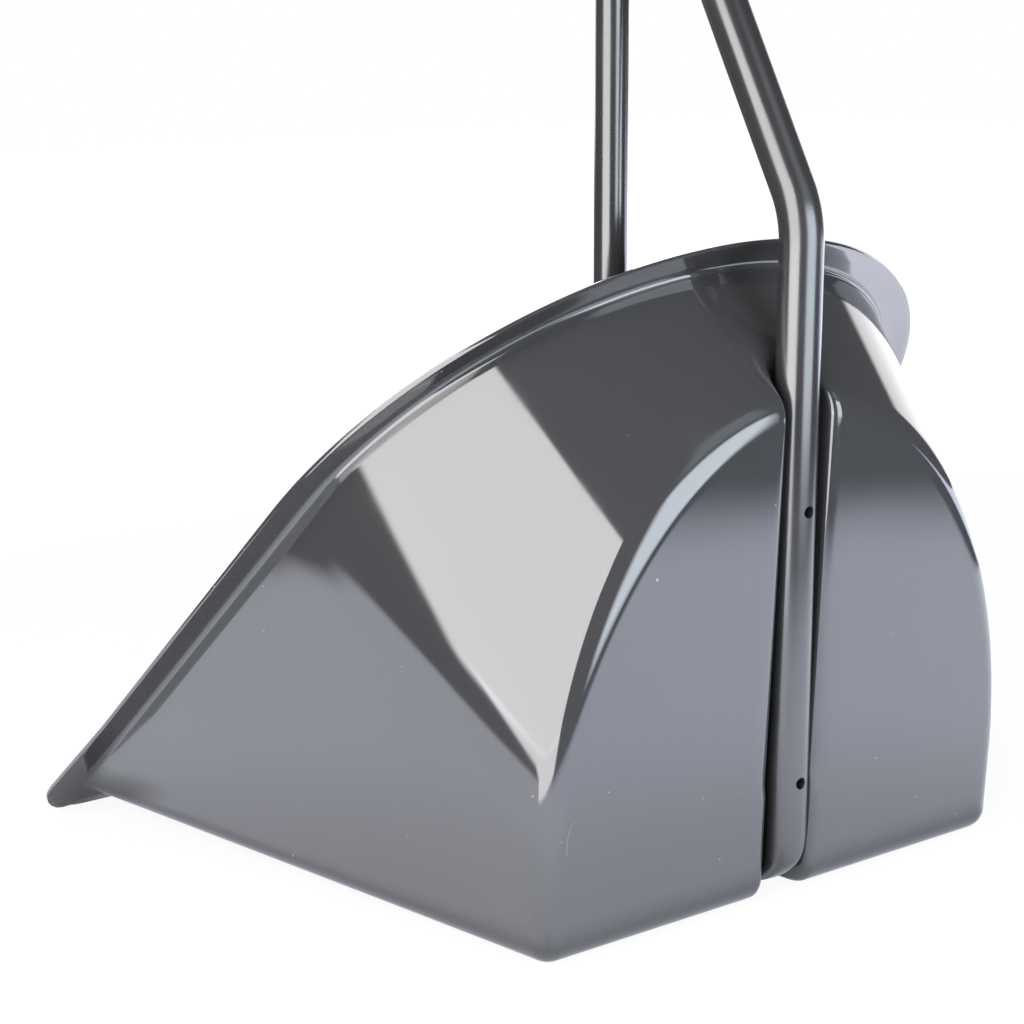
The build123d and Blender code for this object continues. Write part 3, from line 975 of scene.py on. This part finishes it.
class SCOOP_OT_pan(bpy.types.Operator):
    """Finish the pan as a glossy formed sheet with ripples, dust and hairline scratches"""

    bl_idname = "scoop.pan"
    bl_label = "Pan"
    # Sizes of the sheet's patterns, and how many times as long as wide its folds are
    CLOUD, SMUDGE, RIPPLE, FOLD, SCRATCH, CUT_GRAIN = 0.11, 0.028, 0.055, 0.05, 0.1, 0.0012
    FOLD_LENGTH = 5
    # Coarse and fine dust: spacing, share of the cells that have a speck, shift of the pattern
    DUST = (0.011, 0.12, 0.0), (0.005, 0.05, 0.37)
    # How far the folds reach from the line where the sides start to arch, and how far they are at full depth
    FOLD_REACH, FOLD_CORE = 0.07, 0.01
    # Where smudges start and are full, in their noise
    SMUDGED = (0.45, 0.8)
    # Steps of the rim's bevel, and angle from which it breaks an edge
    RIM_STEPS, RIM_SHARP = 3, radians(50)

    def execute(self, context):
        pan = context.scene.scoop_pan
        sheet = PanSheet(pan)
        material = self.skin(pan, sheet)
        piece = stand_in("pan", self.form(pan, sheet), "scoop", "pan_plastic", "scoop_pan")
        cover(piece.data, material, self.cut_edge(pan))
        return {"FINISHED"}

    def skin(self, pan, sheet):
        """The glossy sheet with its marks, ripples and folds."""
        finish = Finish("pan_plastic")
        cloud = finish.noise(self.CLOUD, detail=3)
        smudge = finish.noise(self.SMUDGE, detail=4, rough=0.6).rise(*self.SMUDGED)
        coarse, fine = (finish.specks(*dust) for dust in self.DUST)
        ripple = finish.bump(finish.noise(self.RIPPLE, detail=1), pan.ripple)
        marks = (coarse.at_least(fine) * pan.dust).at_least(finish.hairlines(self.SCRATCH) * pan.scratch)
        return finish.set(
            Base_Color=marks.mix(cloud.shades(pan.colour, dark=0.94, light=1.06), tuple(pan.dust_colour)),
            Roughness=pan.gloss + smudge * pan.smudge + marks * pan.dull,
            IOR=pan.index,
            Normal=finish.bump(self.folds(finish, sheet), pan.streak, ripple),
        )

    def folds(self, finish, sheet):
        """Folds along the line where a side wall starts to arch: the sheet was drawn over its mould there."""
        back, front = (sheet.wall(("arch", 0), t) for t in (0, 1))
        run, climb = back.y - front.y, front.z - back.z
        along = finish.drawn_out((1, 1, self.FOLD_LENGTH), (atan2(run, climb), 0, 0))
        above = finish.height + finish.place.axis("Y") * (climb / run) - (back.z + back.y * climb / run)
        near = above.rise(-self.FOLD_REACH, -self.FOLD_CORE) * above.rise(self.FOLD_REACH, self.FOLD_CORE)
        return finish.noise(self.FOLD, detail=1, place=along) * near

    def form(self, pan, sheet):
        """The sheet with its thickness, cut level where it meets the ground, and its rim's edges broken."""
        thick = {"thickness": pan.wall, "offset": -1, "use_even_offset": True, "material_offset_rim": 1}
        mesh = sheet.mesh("pan_sheet")
        cover(mesh, None, None)
        outer = len(mesh.vertices)
        mesh = shaped("pan_wall", mesh, ("SOLIDIFY", thick))
        self.thin_rim(mesh, outer, pan.rim / pan.wall)
        for vertex in mesh.vertices:
            vertex.co.z = max(vertex.co.z, GROUND)
        broken = {
            "width": pan.rim_bevel,
            "segments": self.RIM_STEPS,
            "limit_method": "ANGLE",
            "angle_limit": self.RIM_SHARP,
        }
        return shaped("pan_rim", mesh, ("BEVEL", broken))

    def thin_rim(self, mesh, outer, share):
        """Draws the rim's inner edge towards its outer one, whose vertices come first in the mesh."""
        moves = {}
        for face in mesh.polygons:
            if face.material_index == 1:
                for pair in face.edge_keys:
                    if pair[0] < outer <= pair[1]:
                        low, high = (mesh.vertices[index].co for index in pair)
                        moves[pair[1]] = low.lerp(high, share)
        for index, place in moves.items():
            mesh.vertices[index].co = place

    def cut_edge(self, pan):
        """Satin, paler face of the sheet where its rim was trimmed."""
        finish = Finish("pan_cut_edge")
        grain = finish.noise(self.CUT_GRAIN)
        return finish.set(
            Base_Color=grain.shades(pan.cut_colour, dark=0.8, light=1.15),
            Roughness=pan.cut_gloss + grain * pan.cut_grain,
            IOR=pan.index,
        )


class SCOOP_OT_tubes(bpy.types.Operator):
    """Finish the handle's and the rake's tubes in black paint with small chips"""

    bl_idname = "scoop.tubes"
    bl_label = "Painted tubes"
    # Sizes of the paint's patterns, and spacing of its chips with the share of cells that have one
    PEEL, CLOUD, CHIPS = 0.0022, 0.05, (0.008, 0.03)
    # Where the paint's clouds start and are full, in their noise
    CLOUDED = (0.4, 0.75)
    # Sides of the handle's section, spacing of its rings, and angle from which its edges are sharp
    SIDES, SPACING, SHARP = 80, 0.002, radians(40)
    # How late the foot's pinch comes in, then the folds' place, half width and start, in radii of the tube
    PINCH, FOLD_PLACE, FOLD_WIDTH, FOLD_START = 2.2, 0.75, 0.15, 0.5
    # Height at which the foot's form has faded out, in foot heights
    FOOT_FADE = 2
    # Sides of a drill, and its length in diameters of the tube
    DRILL_SIDES, DRILL_LENGTH = 24, 0.8

    def execute(self, context):
        tube, pan = context.scene.scoop_tube, context.scene.scoop_pan
        material = self.paint(tube)
        dress(["rake_tube"], material)
        handle = stand_in("handle", self.handle(tube, pan, material), "scoop", "handle_paint", "handle_tube")
        handle.data.set_sharp_from_angle(angle=self.SHARP)
        return {"FINISHED"}

    def paint(self, tube):
        """Black paint with fine waves and a few chips."""
        finish = Finish("handle_paint")
        cloud = finish.noise(self.CLOUD, detail=3)
        chips = finish.specks(*self.CHIPS) * tube.chip
        return finish.set(
            Base_Color=chips.mix(cloud.shades(tube.colour, dark=0.92, light=1.08), tuple(tube.chip_colour)),
            Roughness=tube.gloss + cloud.rise(*self.CLOUDED) * tube.cloud,
            IOR=tube.index,
            Normal=finish.bump(finish.noise(self.PEEL, detail=1), tube.peel),
        )

    def handle(self, tube, pan, material):
        """The handle's tube: bent once, its foot pinched into the groove's turn, drilled from behind."""
        sheet = PanSheet(pan)
        start = sheet.tube_foot + sheet.tube_up * tube.foot_end
        lower = sheet.tube_up * (tube.bend_height - tube.foot_end)
        forward = Vector((0, -sin(tube.bend_lean), cos(tube.bend_lean)))
        upper = forward * ((tube.top - start.z - lower.z) / forward.z)
        pattern = Pattern(
            "handle_tube",
            Diameter=pan.tube,
            Bend=tube.bend,
            Lower=lower.z,
            Lower_lean=lower.y,
            Upper=upper.z,
            Upper_lean=upper.y,
            Foot=tube.foot_top - tube.foot_end,
            Flat=tube.foot_flat,
            Narrow=tube.foot_narrow,
            Fold=tube.foot_fold,
            Turn=sheet.turn - tube.foot_end,
            Turn_radius=pan.groove_end,
            Hole=tube.hole,
            Hole_height=tube.hole_low - tube.foot_end,
            Hole_pitch=tube.hole_high - tube.hole_low,
        )
        runs = (pattern["Lower_lean"], pattern["Lower"]), (pattern["Upper_lean"], pattern["Upper"])
        path = pattern.bent_path(*runs, pattern["Bend"], self.SPACING)
        made = pattern.swept(path, pattern["Diameter"] * 0.5, self.SIDES)
        place = self.foot(pattern, tube, pan)
        made = made.node("GeometryNodeSetPosition", {"Geometry": made, "Position": place})
        inputs = {"Mesh 1": made, "Mesh 2": self.drills(pattern)}
        made = made.node("GeometryNodeMeshBoolean", inputs, operation="DIFFERENCE", solver="EXACT")
        return pattern.mesh(pattern.moved(made, Translation=start), material)

    def foot(self, pattern, tube, pan):
        """Where the tube's points go: at the foot flat, narrow, folded and forward with the groove."""
        place = pattern.field("GeometryNodeInputPosition")
        x, y, z = (place.axis(name) for name in "XYZ")
        radius = pattern["Diameter"] * 0.5
        share = (pattern["Foot"] - z).at_least(0) / pattern["Foot"]
        pinch = share ** self.PINCH
        depth = y - z * tan(pan.tube_lean)
        turn = (pattern["Turn"] - z).at_least(0)
        bow = (pattern["Turn_radius"] * pattern["Turn_radius"] - turn * turn) ** 0.5
        forward = (pattern["Turn_radius"] - bow) * tube.foot_follow
        crease = abs(abs(x) - radius * self.FOLD_PLACE).rise(radius * self.FOLD_WIDTH, 0)
        fold = crease * depth.rise(0, radius * self.FOLD_START) * share * pattern["Fold"]
        flat = (depth + radius) * (1 - pinch * (1 - pattern["Flat"])) - radius
        low = z.rise(pattern["Foot"] * self.FOOT_FADE, pattern["Foot"])
        narrow = x * (1 - pinch * pattern["Narrow"])
        return pattern.vector(narrow, y + (flat - depth - forward - fold) * low, z)

    def drills(self, pattern):
        """What the holes take out of the tube's rear wall."""
        across = pattern["Diameter"]
        radius, depth = pattern["Hole"] * 0.5, across * self.DRILL_LENGTH
        size = {"Vertices": self.DRILL_SIDES, "Radius": radius, "Depth": depth}
        drill = pattern.field("GeometryNodeMeshCylinder", size)
        drill = pattern.moved(drill, Rotation=(pi / 2, 0, 0), Translation=pattern.vector(y=across * 0.5))
        start, step = (pattern.vector(z=pattern[name]) for name in ("Hole_height", "Hole_pitch"))
        row = pattern.field("GeometryNodeMeshLine", {"Count": 2, "Start Location": start, "Offset": step})
        drills = pattern.placed(row, drill)
        return drills.node("GeometryNodeRealizeInstances", {0: drills})


class SCOOP_OT_rake(bpy.types.Operator):
    """Finish the rake's head: bent tines drawn to points, welded into the bar, in paint worn at the tips"""

    bl_idname = "scoop.rake"
    bl_label = "Rake head"
    # Sizes of the paint's patterns, what tips and scuffs add to its wear, and where wear bares the steel
    CLOUD, SCUFF, TIP_WEAR, SCUFF_WEAR, BARE = 0.03, 0.005, 0.42, 0.8, (0.62, 0.70)
    # Where scuffs start and are full, in their noise, and share of the worn height that is fully worn
    SCUFFED, FULL_WEAR = (0.4, 0.7), 0.25
    # Sides of a tine's section, spacing of its rings, and how far its end closes
    SIDES, SPACING, CLOSED = 16, 0.0012, 0.985
    # Radius of a peened end in tine thicknesses, its height as a share of that, its sides and rings
    PEEN_RADIUS, PEEN_HEIGHT, PEEN_SIDES, PEEN_RINGS = 0.78, 0.36, 16, 10
    # Welds: steps round the tine, sides, scale of lumps, least thickness, what lumps add, seed of turns
    WELD_STEPS, WELD_SIDES, LUMPS, WELD_LEAST, WELD_LUMP, WELD_SEED = 28, 8, 700.0, 0.3, 0.5, 4

    def execute(self, context):
        rake = context.scene.scoop_rake
        material = self.paint(rake)
        dress(["rake_socket", "rake_bar"], material)
        stand_in("tines", self.tines(rake, material), "rake", "rake_paint", *TINES)
        return {"FINISHED"}

    def paint(self, rake):
        """Satin black paint, scuffed all over and worn to the steel at the points."""
        finish = Finish("rake_paint")
        cloud = finish.noise(self.CLOUD, detail=3)
        scuff = finish.noise(self.SCUFF, detail=4, rough=0.65)
        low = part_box(TINES[0])[0].z
        tips = finish.height.rise(low + rake.worn_height, low + rake.worn_height * self.FULL_WEAR)
        worn = (tips * self.TIP_WEAR + scuff * self.SCUFF_WEAR).rise(*self.BARE)
        return finish.set(
            Base_Color=worn.mix(cloud.shades(rake.colour, dark=0.88, light=1.15), tuple(rake.bare_colour)),
            Metallic=worn,
            Roughness=rake.gloss + scuff.rise(*self.SCUFFED) * rake.scuff_gloss + worn * rake.bare_gloss,
            Normal=finish.bump(scuff, rake.scuff),
        )

    def tines(self, rake, material):
        """Tines in a row along the bar, each with a weld at its root and a peened end behind the bar."""
        low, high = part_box(TINES[0])
        bar_low, bar_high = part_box("rake_bar")
        thick = high.x - low.x
        run, drop = high.y - low.y - rake.elbow - thick / 2, high.z - low.z - thick
        tip = thick / 2 / hypot(run, drop)
        pattern = Pattern(
            "rake_tines",
            Count=len(TINES),
            Pitch=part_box(TINES[1])[0].x - low.x,
            Thick=thick,
            Elbow=rake.elbow,
            Run=run * (1 + tip),
            Drop=drop * (1 + tip),
            Bend=rake.bend,
            Bead=rake.bead,
            Point=rake.point,
            Bar=bar_high.y - bar_low.y,
        )
        start = Vector(((low.x + high.x) / 2, high.y, high.z - thick / 2))
        step = pattern.vector(x=pattern["Pitch"])
        inputs = {"Count": pattern["Count"], "Start Location": start, "Offset": step}
        row = pattern.field("GeometryNodeMeshLine", inputs)
        tines = pattern.placed(row, pattern.joined(self.tine(pattern), self.peened_end(pattern)))
        inputs = {1: (0, 2 * pi, 0), "Seed": self.WELD_SEED}
        turn = pattern.field("FunctionNodeRandomValue", inputs, data_type="FLOAT_VECTOR")
        beads = pattern.placed(row, self.weld(pattern), Rotation=turn)
        forward = pattern.vector(y=-1 * pattern["Bar"])
        return pattern.mesh(pattern.joined(tines, pattern.moved(beads, Translation=forward)), material)

    def tine(self, pattern):
        """One tine: a bent rod drawn to a blunt point."""
        runs = (-1 * pattern["Elbow"], 0), (-1 * pattern["Run"], -1 * pattern["Drop"])
        path = pattern.bent_path(*runs, pattern["Bend"], self.SPACING)
        along = pattern.field("GeometryNodeSplineParameter", output="Factor")
        share = (along - 1 + pattern["Point"]).at_least(0) / pattern["Point"]
        round_off = (1 - share * share * self.CLOSED).root()
        return pattern.swept(path, pattern["Thick"] * 0.5 * round_off, self.SIDES)

    def peened_end(self, pattern):
        """The tine's end, hammered to a low dome behind the bar."""
        radius = pattern["Thick"] * self.PEEN_RADIUS
        size = {"Segments": self.PEEN_SIDES, "Rings": self.PEEN_RINGS, "Radius": radius}
        ball = pattern.field("GeometryNodeMeshUVSphere", size)
        return pattern.moved(ball, Scale=(1.0, self.PEEN_HEIGHT, 1.0))

    def weld(self, pattern):
        """A lumpy bead round a tine where it leaves the bar."""
        size = {"Resolution": self.WELD_STEPS, "Radius": pattern["Thick"] * 0.5}
        ring = pattern.field("GeometryNodeCurvePrimitiveCircle", size)
        lumps = pattern.field("ShaderNodeTexNoise", {"Scale": self.LUMPS, "Detail": 1.0})
        thickness = pattern["Bead"] * (self.WELD_LEAST + lumps * self.WELD_LUMP)
        return pattern.moved(pattern.swept(ring, thickness, self.WELD_SIDES), Rotation=(pi / 2, 0, 0))


class SCOOP_OT_grips(bpy.types.Operator):
    """Finish the grips in matt rubber"""

    bl_idname = "scoop.grips"
    bl_label = "Grips"
    # Sizes of the rubber's patterns, and where wear starts and is full
    GRAIN, WEAR, WORN = 0.0009, 0.03, (0.35, 0.7)

    def execute(self, context):
        grip = context.scene.scoop_grip
        finish = Finish("grip_rubber")
        wear = finish.noise(self.WEAR, detail=3)
        material = finish.set(
            Base_Color=wear.shades(grip.colour, dark=0.85, light=1.25),
            Roughness=grip.gloss + wear.rise(*self.WORN) * grip.wear,
            Normal=finish.bump(finish.noise(self.GRAIN), grip.grain),
        )
        dress(["handle_grip", "rake_grip"], material)
        return {"FINISHED"}


class SCOOP_OT_fasteners(bpy.types.Operator):
    """Finish the screws, washers and rivet in zinc plating"""

    bl_idname = "scoop.fasteners"
    bl_label = "Fasteners"
    # Size of the plating's pattern, and where its bloom starts and is full
    BLOOM, BLOOMED = 0.0035, (0.4, 0.7)

    def execute(self, context):
        steel = context.scene.scoop_steel
        finish = Finish("zinc_steel")
        bloom = finish.noise(self.BLOOM, detail=3)
        material = finish.set(
            Base_Color=bloom.shades(steel.colour, dark=0.8, light=1.1),
            Metallic=1.0,
            Roughness=steel.gloss + bloom.rise(*self.BLOOMED) * steel.bloom,
        )
        dress(["handle_screws", "screw_washers", "rake_rivet"], material)
        return {"FINISHED"}


class SCOOP_OT_stage(bpy.types.Operator):
    """Set the floor, the soft light and the camera"""

    bl_idname = "scoop.stage"
    bl_label = "Stage"
    # Width of the camera's sensor in millimetres
    SENSOR = 36.0
    # The floor's white, roughness and glow, and how much of its shadow the camera and gloss see
    FLOOR_WHITE, FLOOR_ROUGHNESS, FLOOR_GLOW = (0.88, 0.88, 0.88, 1), 0.9, 1.03
    CAMERA_SHADOW, GLOSS_SHADOW = 0.12, 0.45
    # Edge of the lit floor, which gloss sees as painted light, in its half widths, and how far back its edge
    # gets softer and its tint changes
    LIT_EDGE, REAR_SOFT, REAR_TINT = 1.02, (0.2, 0.5), (0.15, 0.35)
    # Painted pool of light on the floor before the side softbox: slope and fade of two edges, fades of its
    # near and far end
    POOL_REAR, POOL_FRONT = (0.28, 0.26, 0.30), (0.83, 0.12, 0.02)
    POOL_NEAR, POOL_FAR = (0.50, 0.58), (2.4, 1.4)
    # Painted lit floor behind the scoop: how far away it starts, and how far to the side
    BEHIND, BESIDE = (0.5, 0.65), (-0.1, -0.3)
    # The pan's foot: half width at the origin, spread to the front, fade of the painted contact shadow
    FOOT_HALF, FOOT_SPREAD, CONTACT = 0.176, 0.23, (0.035, 0.004)
    # Painted shade round the pan: an oval's half sizes, and its fade in them
    SHADE_OVAL, SHADE_FADE = (0.21, 0.20, 1), (1.9, 0.9)
    # Spots of the floor by place and radius: painted shadow under the lip's corners, and a painted bright
    # spot below the far flange
    LIP_SPOTS = (0.225, -0.155, 0.05), (-0.225, -0.155, 0.05)
    FLANGE_SPOT = (-0.35, 0.03, 0.12)
    SPOT_FADE = (1, 0.4)
    # Edges of the backdrop, to the sides and above, as parts of a direction
    BACKDROP_SIDES, BACKDROP_TOP = (0.73, 0.77), (0.5, 0.4)
    # Softboxes by place, aim, width and height, and share of these over which the edges fade
    SOFTBOXES = {
        "side": ((1.4, 0.5, 0.76), (0, 0.5, 0.76), (1.42, 1.52), 0.03),
        "window": ((-0.185, 1.0, 0.35), (-0.185, 0, 0.35), (0.95, 0.82), 0.2),
        "upper": ((-0.185, 1.0, 1.15), (-0.185, 0, 1.15), (0.95, 0.9), 0.25),
        "top": ((0.1, -0.5, 1.9), (0, 0, 0.2), (0.9, 0.9), 0.1),
    }

    def execute(self, context):
        stage = context.scene.scoop_stage
        self.camera(context, stage)
        self.floor(stage)
        self.world(context, stage)
        tints = {"window": stage.window_tint, "upper": stage.window_tint}
        for name, form in self.SOFTBOXES.items():
            self.softbox(name, getattr(stage, name + "_level"), tints.get(name, WHITE), *form)
        context.scene.view_settings.view_transform = "Standard"
        return {"FINISHED"}

    def camera(self, context, stage):
        """Camera at its place, turned, tilted and rolled."""
        yaw, pitch, roll = stage.yaw, stage.pitch, stage.roll
        forward = Vector((sin(yaw) * cos(pitch), -cos(yaw) * cos(pitch), -sin(pitch)))
        right = forward.cross(Vector((0, 0, 1))).normalized()
        up = right.cross(forward)
        turn = Matrix((right, up, -forward)).transposed() @ Matrix.Rotation(roll, 3, "Z")
        camera = new_object("camera", bpy.data.cameras.new("camera"))
        camera.data.lens = stage.lens
        camera.data.sensor_width = self.SENSOR
        camera.matrix_world = Matrix.Translation(stage.camera_place) @ turn.to_4x4()
        context.scene.camera = camera

    def floor(self, stage):
        """A square floor under the scoop."""
        half = stage.floor_size / 2
        mesh = bpy.data.meshes.new("floor")
        corners = [(-half, -half), (half, -half), (half, half), (-half, half)]
        mesh.from_pydata([(x, y, GROUND) for x, y in corners], [], [(0, 1, 2, 3)])
        floor = new_object("floor", mesh)
        cover(mesh, self.floor_white(stage))

    def floor_white(self, stage):
        """White that keeps a faint shadow; gloss sees it as a glow, lit round the scoop only, with a painted
        pool of light before the side softbox, painted shadows round the pan and a painted bright spot below
        the far flange.
        """
        finish = Finish("floor_white")
        finish.set(Base_Color=self.FLOOR_WHITE, Roughness=self.FLOOR_ROUGHNESS)
        x, y = (finish.place.axis(name) for name in "XY")
        camera_ray, glossy_ray = self.rays(finish.tree)
        # What gloss sees on the floor is painted light and shade: a lit oval, lit floor behind the scoop, a
        # pool before the side softbox, and the shading round the pan
        oval = finish.drawn_out((stage.lit_width, stage.lit_depth, 1), place=(stage.lit_middle, 0, 0))
        inner_edge = self.LIT_EDGE - stage.lit_fade - y.rise(*self.REAR_SOFT) * stage.rear_fade
        lit = oval.reach().rise(self.LIT_EDGE, inner_edge)
        pool = self.pool(x, y)
        shaded = lit.at_least(self.behind(stage, x, y)) * self.shading(finish, stage, x, y)
        seen = stage.room + shaded * stage.floor_gloss
        seen = seen + pool * (stage.pool_level - seen)
        tint = y.rise(*self.REAR_TINT).mix(tuple(stage.floor_tint), tuple(stage.rear_tint))
        inputs = {
            "Color": glossy_ray.mix(WHITE, pool.mix(tint, WHITE)),
            "Strength": glossy_ray * seen + (1 - glossy_ray) * self.FLOOR_GLOW,
        }
        glow = finish.place.node("ShaderNodeEmission", inputs)
        to_camera = camera_ray * (1 - lit * self.CAMERA_SHADOW)
        to_gloss = glossy_ray * (1 - lit * (1 - pool) * self.GLOSS_SHADOW)
        plain = Value(finish.tree, finish.shader.outputs[0])
        blend = glow.node("ShaderNodeMixShader", {0: to_camera + to_gloss, 1: plain, 2: glow})
        feed(finish.tree, finish.tree.nodes["Material Output"].inputs[0], blend)
        return finish.material

    def pool(self, x, y):
        """1 on the floor before the side softbox, where gloss sees a painted pool of light."""
        (rear, *rear_fade), (front, *front_fade) = self.POOL_REAR, self.POOL_FRONT
        wedge = (y + x * rear).rise(*rear_fade) * (y - x * front).rise(*front_fade)
        return wedge * x.rise(*self.POOL_NEAR) * x.rise(*self.POOL_FAR)

    def behind(self, stage, x, y):
        """1 on the floor beyond the scoop and to the right of it, as the camera sees them, where gloss sees
        painted light.
        """
        away = x * sin(stage.yaw) - y * cos(stage.yaw)
        aside = x * cos(stage.yaw) + y * sin(stage.yaw)
        return away.rise(*self.BEHIND) * aside.rise(*self.BESIDE)

    def shading(self, finish, stage, x, y):
        """How bright the lit floor is round the pan as gloss reflects it: painted shade towards the pan,
        painted contact shadow at its foot and under the lip's corners, and a painted bright spot below the
        far flange.
        """
        past_rear = y - bpy.context.scene.scoop_pan.rear
        outside = (abs(x) - self.FOOT_HALF + y * self.FOOT_SPREAD).at_least(past_rear)
        contact = outside.rise(*self.CONTACT)
        shade = finish.drawn_out(self.SHADE_OVAL).reach().rise(*self.SHADE_FADE)
        left, right = (self.spot(finish, *place) for place in self.LIP_SPOTS)
        lip = left + right
        # Painted bright spot on the floor below the far flange
        flange = self.spot(finish, *self.FLANGE_SPOT)
        level = (1 - shade * stage.floor_shade) * (1 - lip * stage.lip_shade)
        return level * (1 + flange * stage.flange_glow) * (1 - contact * stage.contact_shade)

    def spot(self, finish, x, y, radius):
        """A soft round spot of the floor."""
        return finish.drawn_out((radius, radius, 1), place=(x, y, 0)).reach().rise(*self.SPOT_FADE)

    def rays(self, tree):
        """1 where the camera looks straight at it, and 1 where gloss reflects it."""
        path = tree.nodes.new("ShaderNodeLightPath")
        return Value(tree, path.outputs["Is Camera Ray"]), Value(tree, path.outputs["Is Glossy Ray"])

    def world(self, context, stage):
        """White to the camera; to gloss, a dark room with a low white backdrop behind the scoop."""
        world = bpy.data.worlds.new("studio")
        world.use_nodes = True
        context.scene.world = world
        tree = world.node_tree
        coordinates = tree.nodes.new("ShaderNodeTexCoord")
        direction = Value(tree, coordinates.outputs["Generated"])
        camera_ray, glossy_ray = self.rays(tree)
        inputs = {0: direction, 1: (sin(stage.yaw), -cos(stage.yaw), 0)}
        towards = direction.node("ShaderNodeVectorMath", inputs, output="Value", operation="DOT_PRODUCT")
        backdrop = towards.rise(*self.BACKDROP_SIDES) * direction.axis("Z").rise(*self.BACKDROP_TOP)
        seen = stage.room + backdrop * (stage.backdrop - stage.room)
        level = glossy_ray * seen + (1 - glossy_ray) * stage.ambient
        background = tree.nodes["Background"]
        background.inputs["Color"].default_value = (*WHITE, 1)
        feed(tree, background.inputs["Strength"], camera_ray + (1 - camera_ray) * level)

    def softbox(self, name, level, tint, place, aim, size, soft):
        """Rectangular lamp whose face has that brightness and colour, and fades out along its edges."""
        lamp = bpy.data.lights.new(name + "_softbox", "AREA")
        lamp.shape = "RECTANGLE"
        lamp.size, lamp.size_y = size
        lamp.energy = level * pi * size[0] * size[1]
        lamp.color = tint
        box = new_object(lamp.name, lamp)
        box.location = place
        box.rotation_euler = (Vector(aim) - Vector(place)).to_track_quat("-Z", "Y").to_euler()
        box.visible_camera = False
        lamp.use_nodes = True
        tree = lamp.node_tree
        face = Value(tree, tree.nodes.new("ShaderNodeNewGeometry").outputs["Parametric"])
        across, up = (face.axis(way).rise(0, soft) * face.axis(way).rise(1, 1 - soft) for way in "XY")
        feed(tree, tree.nodes["Emission"].inputs["Strength"], across * up)


class SCOOP_PT_sidebar(bpy.types.Panel):
    """Lists the pieces of the scoop"""

    bl_label = "Manure scoop"
    bl_space_type = "VIEW_3D"
    bl_region_type = "UI"
    bl_category = "Scoop"

    def draw(self, context):
        for operator in OPERATORS:
            self.layout.operator(operator.bl_idname)


SETTINGS = {
    "scoop_pan": PanSettings,
    "scoop_tube": TubeSettings,
    "scoop_rake": RakeSettings,
    "scoop_grip": GripSettings,
    "scoop_steel": SteelSettings,
    "scoop_stage": StageSettings,
}
OPERATORS = (SCOOP_OT_pan, SCOOP_OT_tubes, SCOOP_OT_rake, SCOOP_OT_grips, SCOOP_OT_fasteners, SCOOP_OT_stage)


def register():
    for made in (*SETTINGS.values(), *OPERATORS, SCOOP_PT_sidebar):
        bpy.utils.register_class(made)
    for name, group in SETTINGS.items():
        setattr(bpy.types.Scene, name, PointerProperty(type=group))


def unregister():
    for name in SETTINGS:
        delattr(bpy.types.Scene, name)
    for made in reversed((*SETTINGS.values(), *OPERATORS, SCOOP_PT_sidebar)):
        bpy.utils.unregister_class(made)


def main():
    register()
    bpy.ops.scoop.pan()
    bpy.ops.scoop.tubes()
    bpy.ops.scoop.rake()
    bpy.ops.scoop.grips()
    bpy.ops.scoop.fasteners()
    bpy.ops.scoop.stage()


if __name__ == "__main__":
    main()
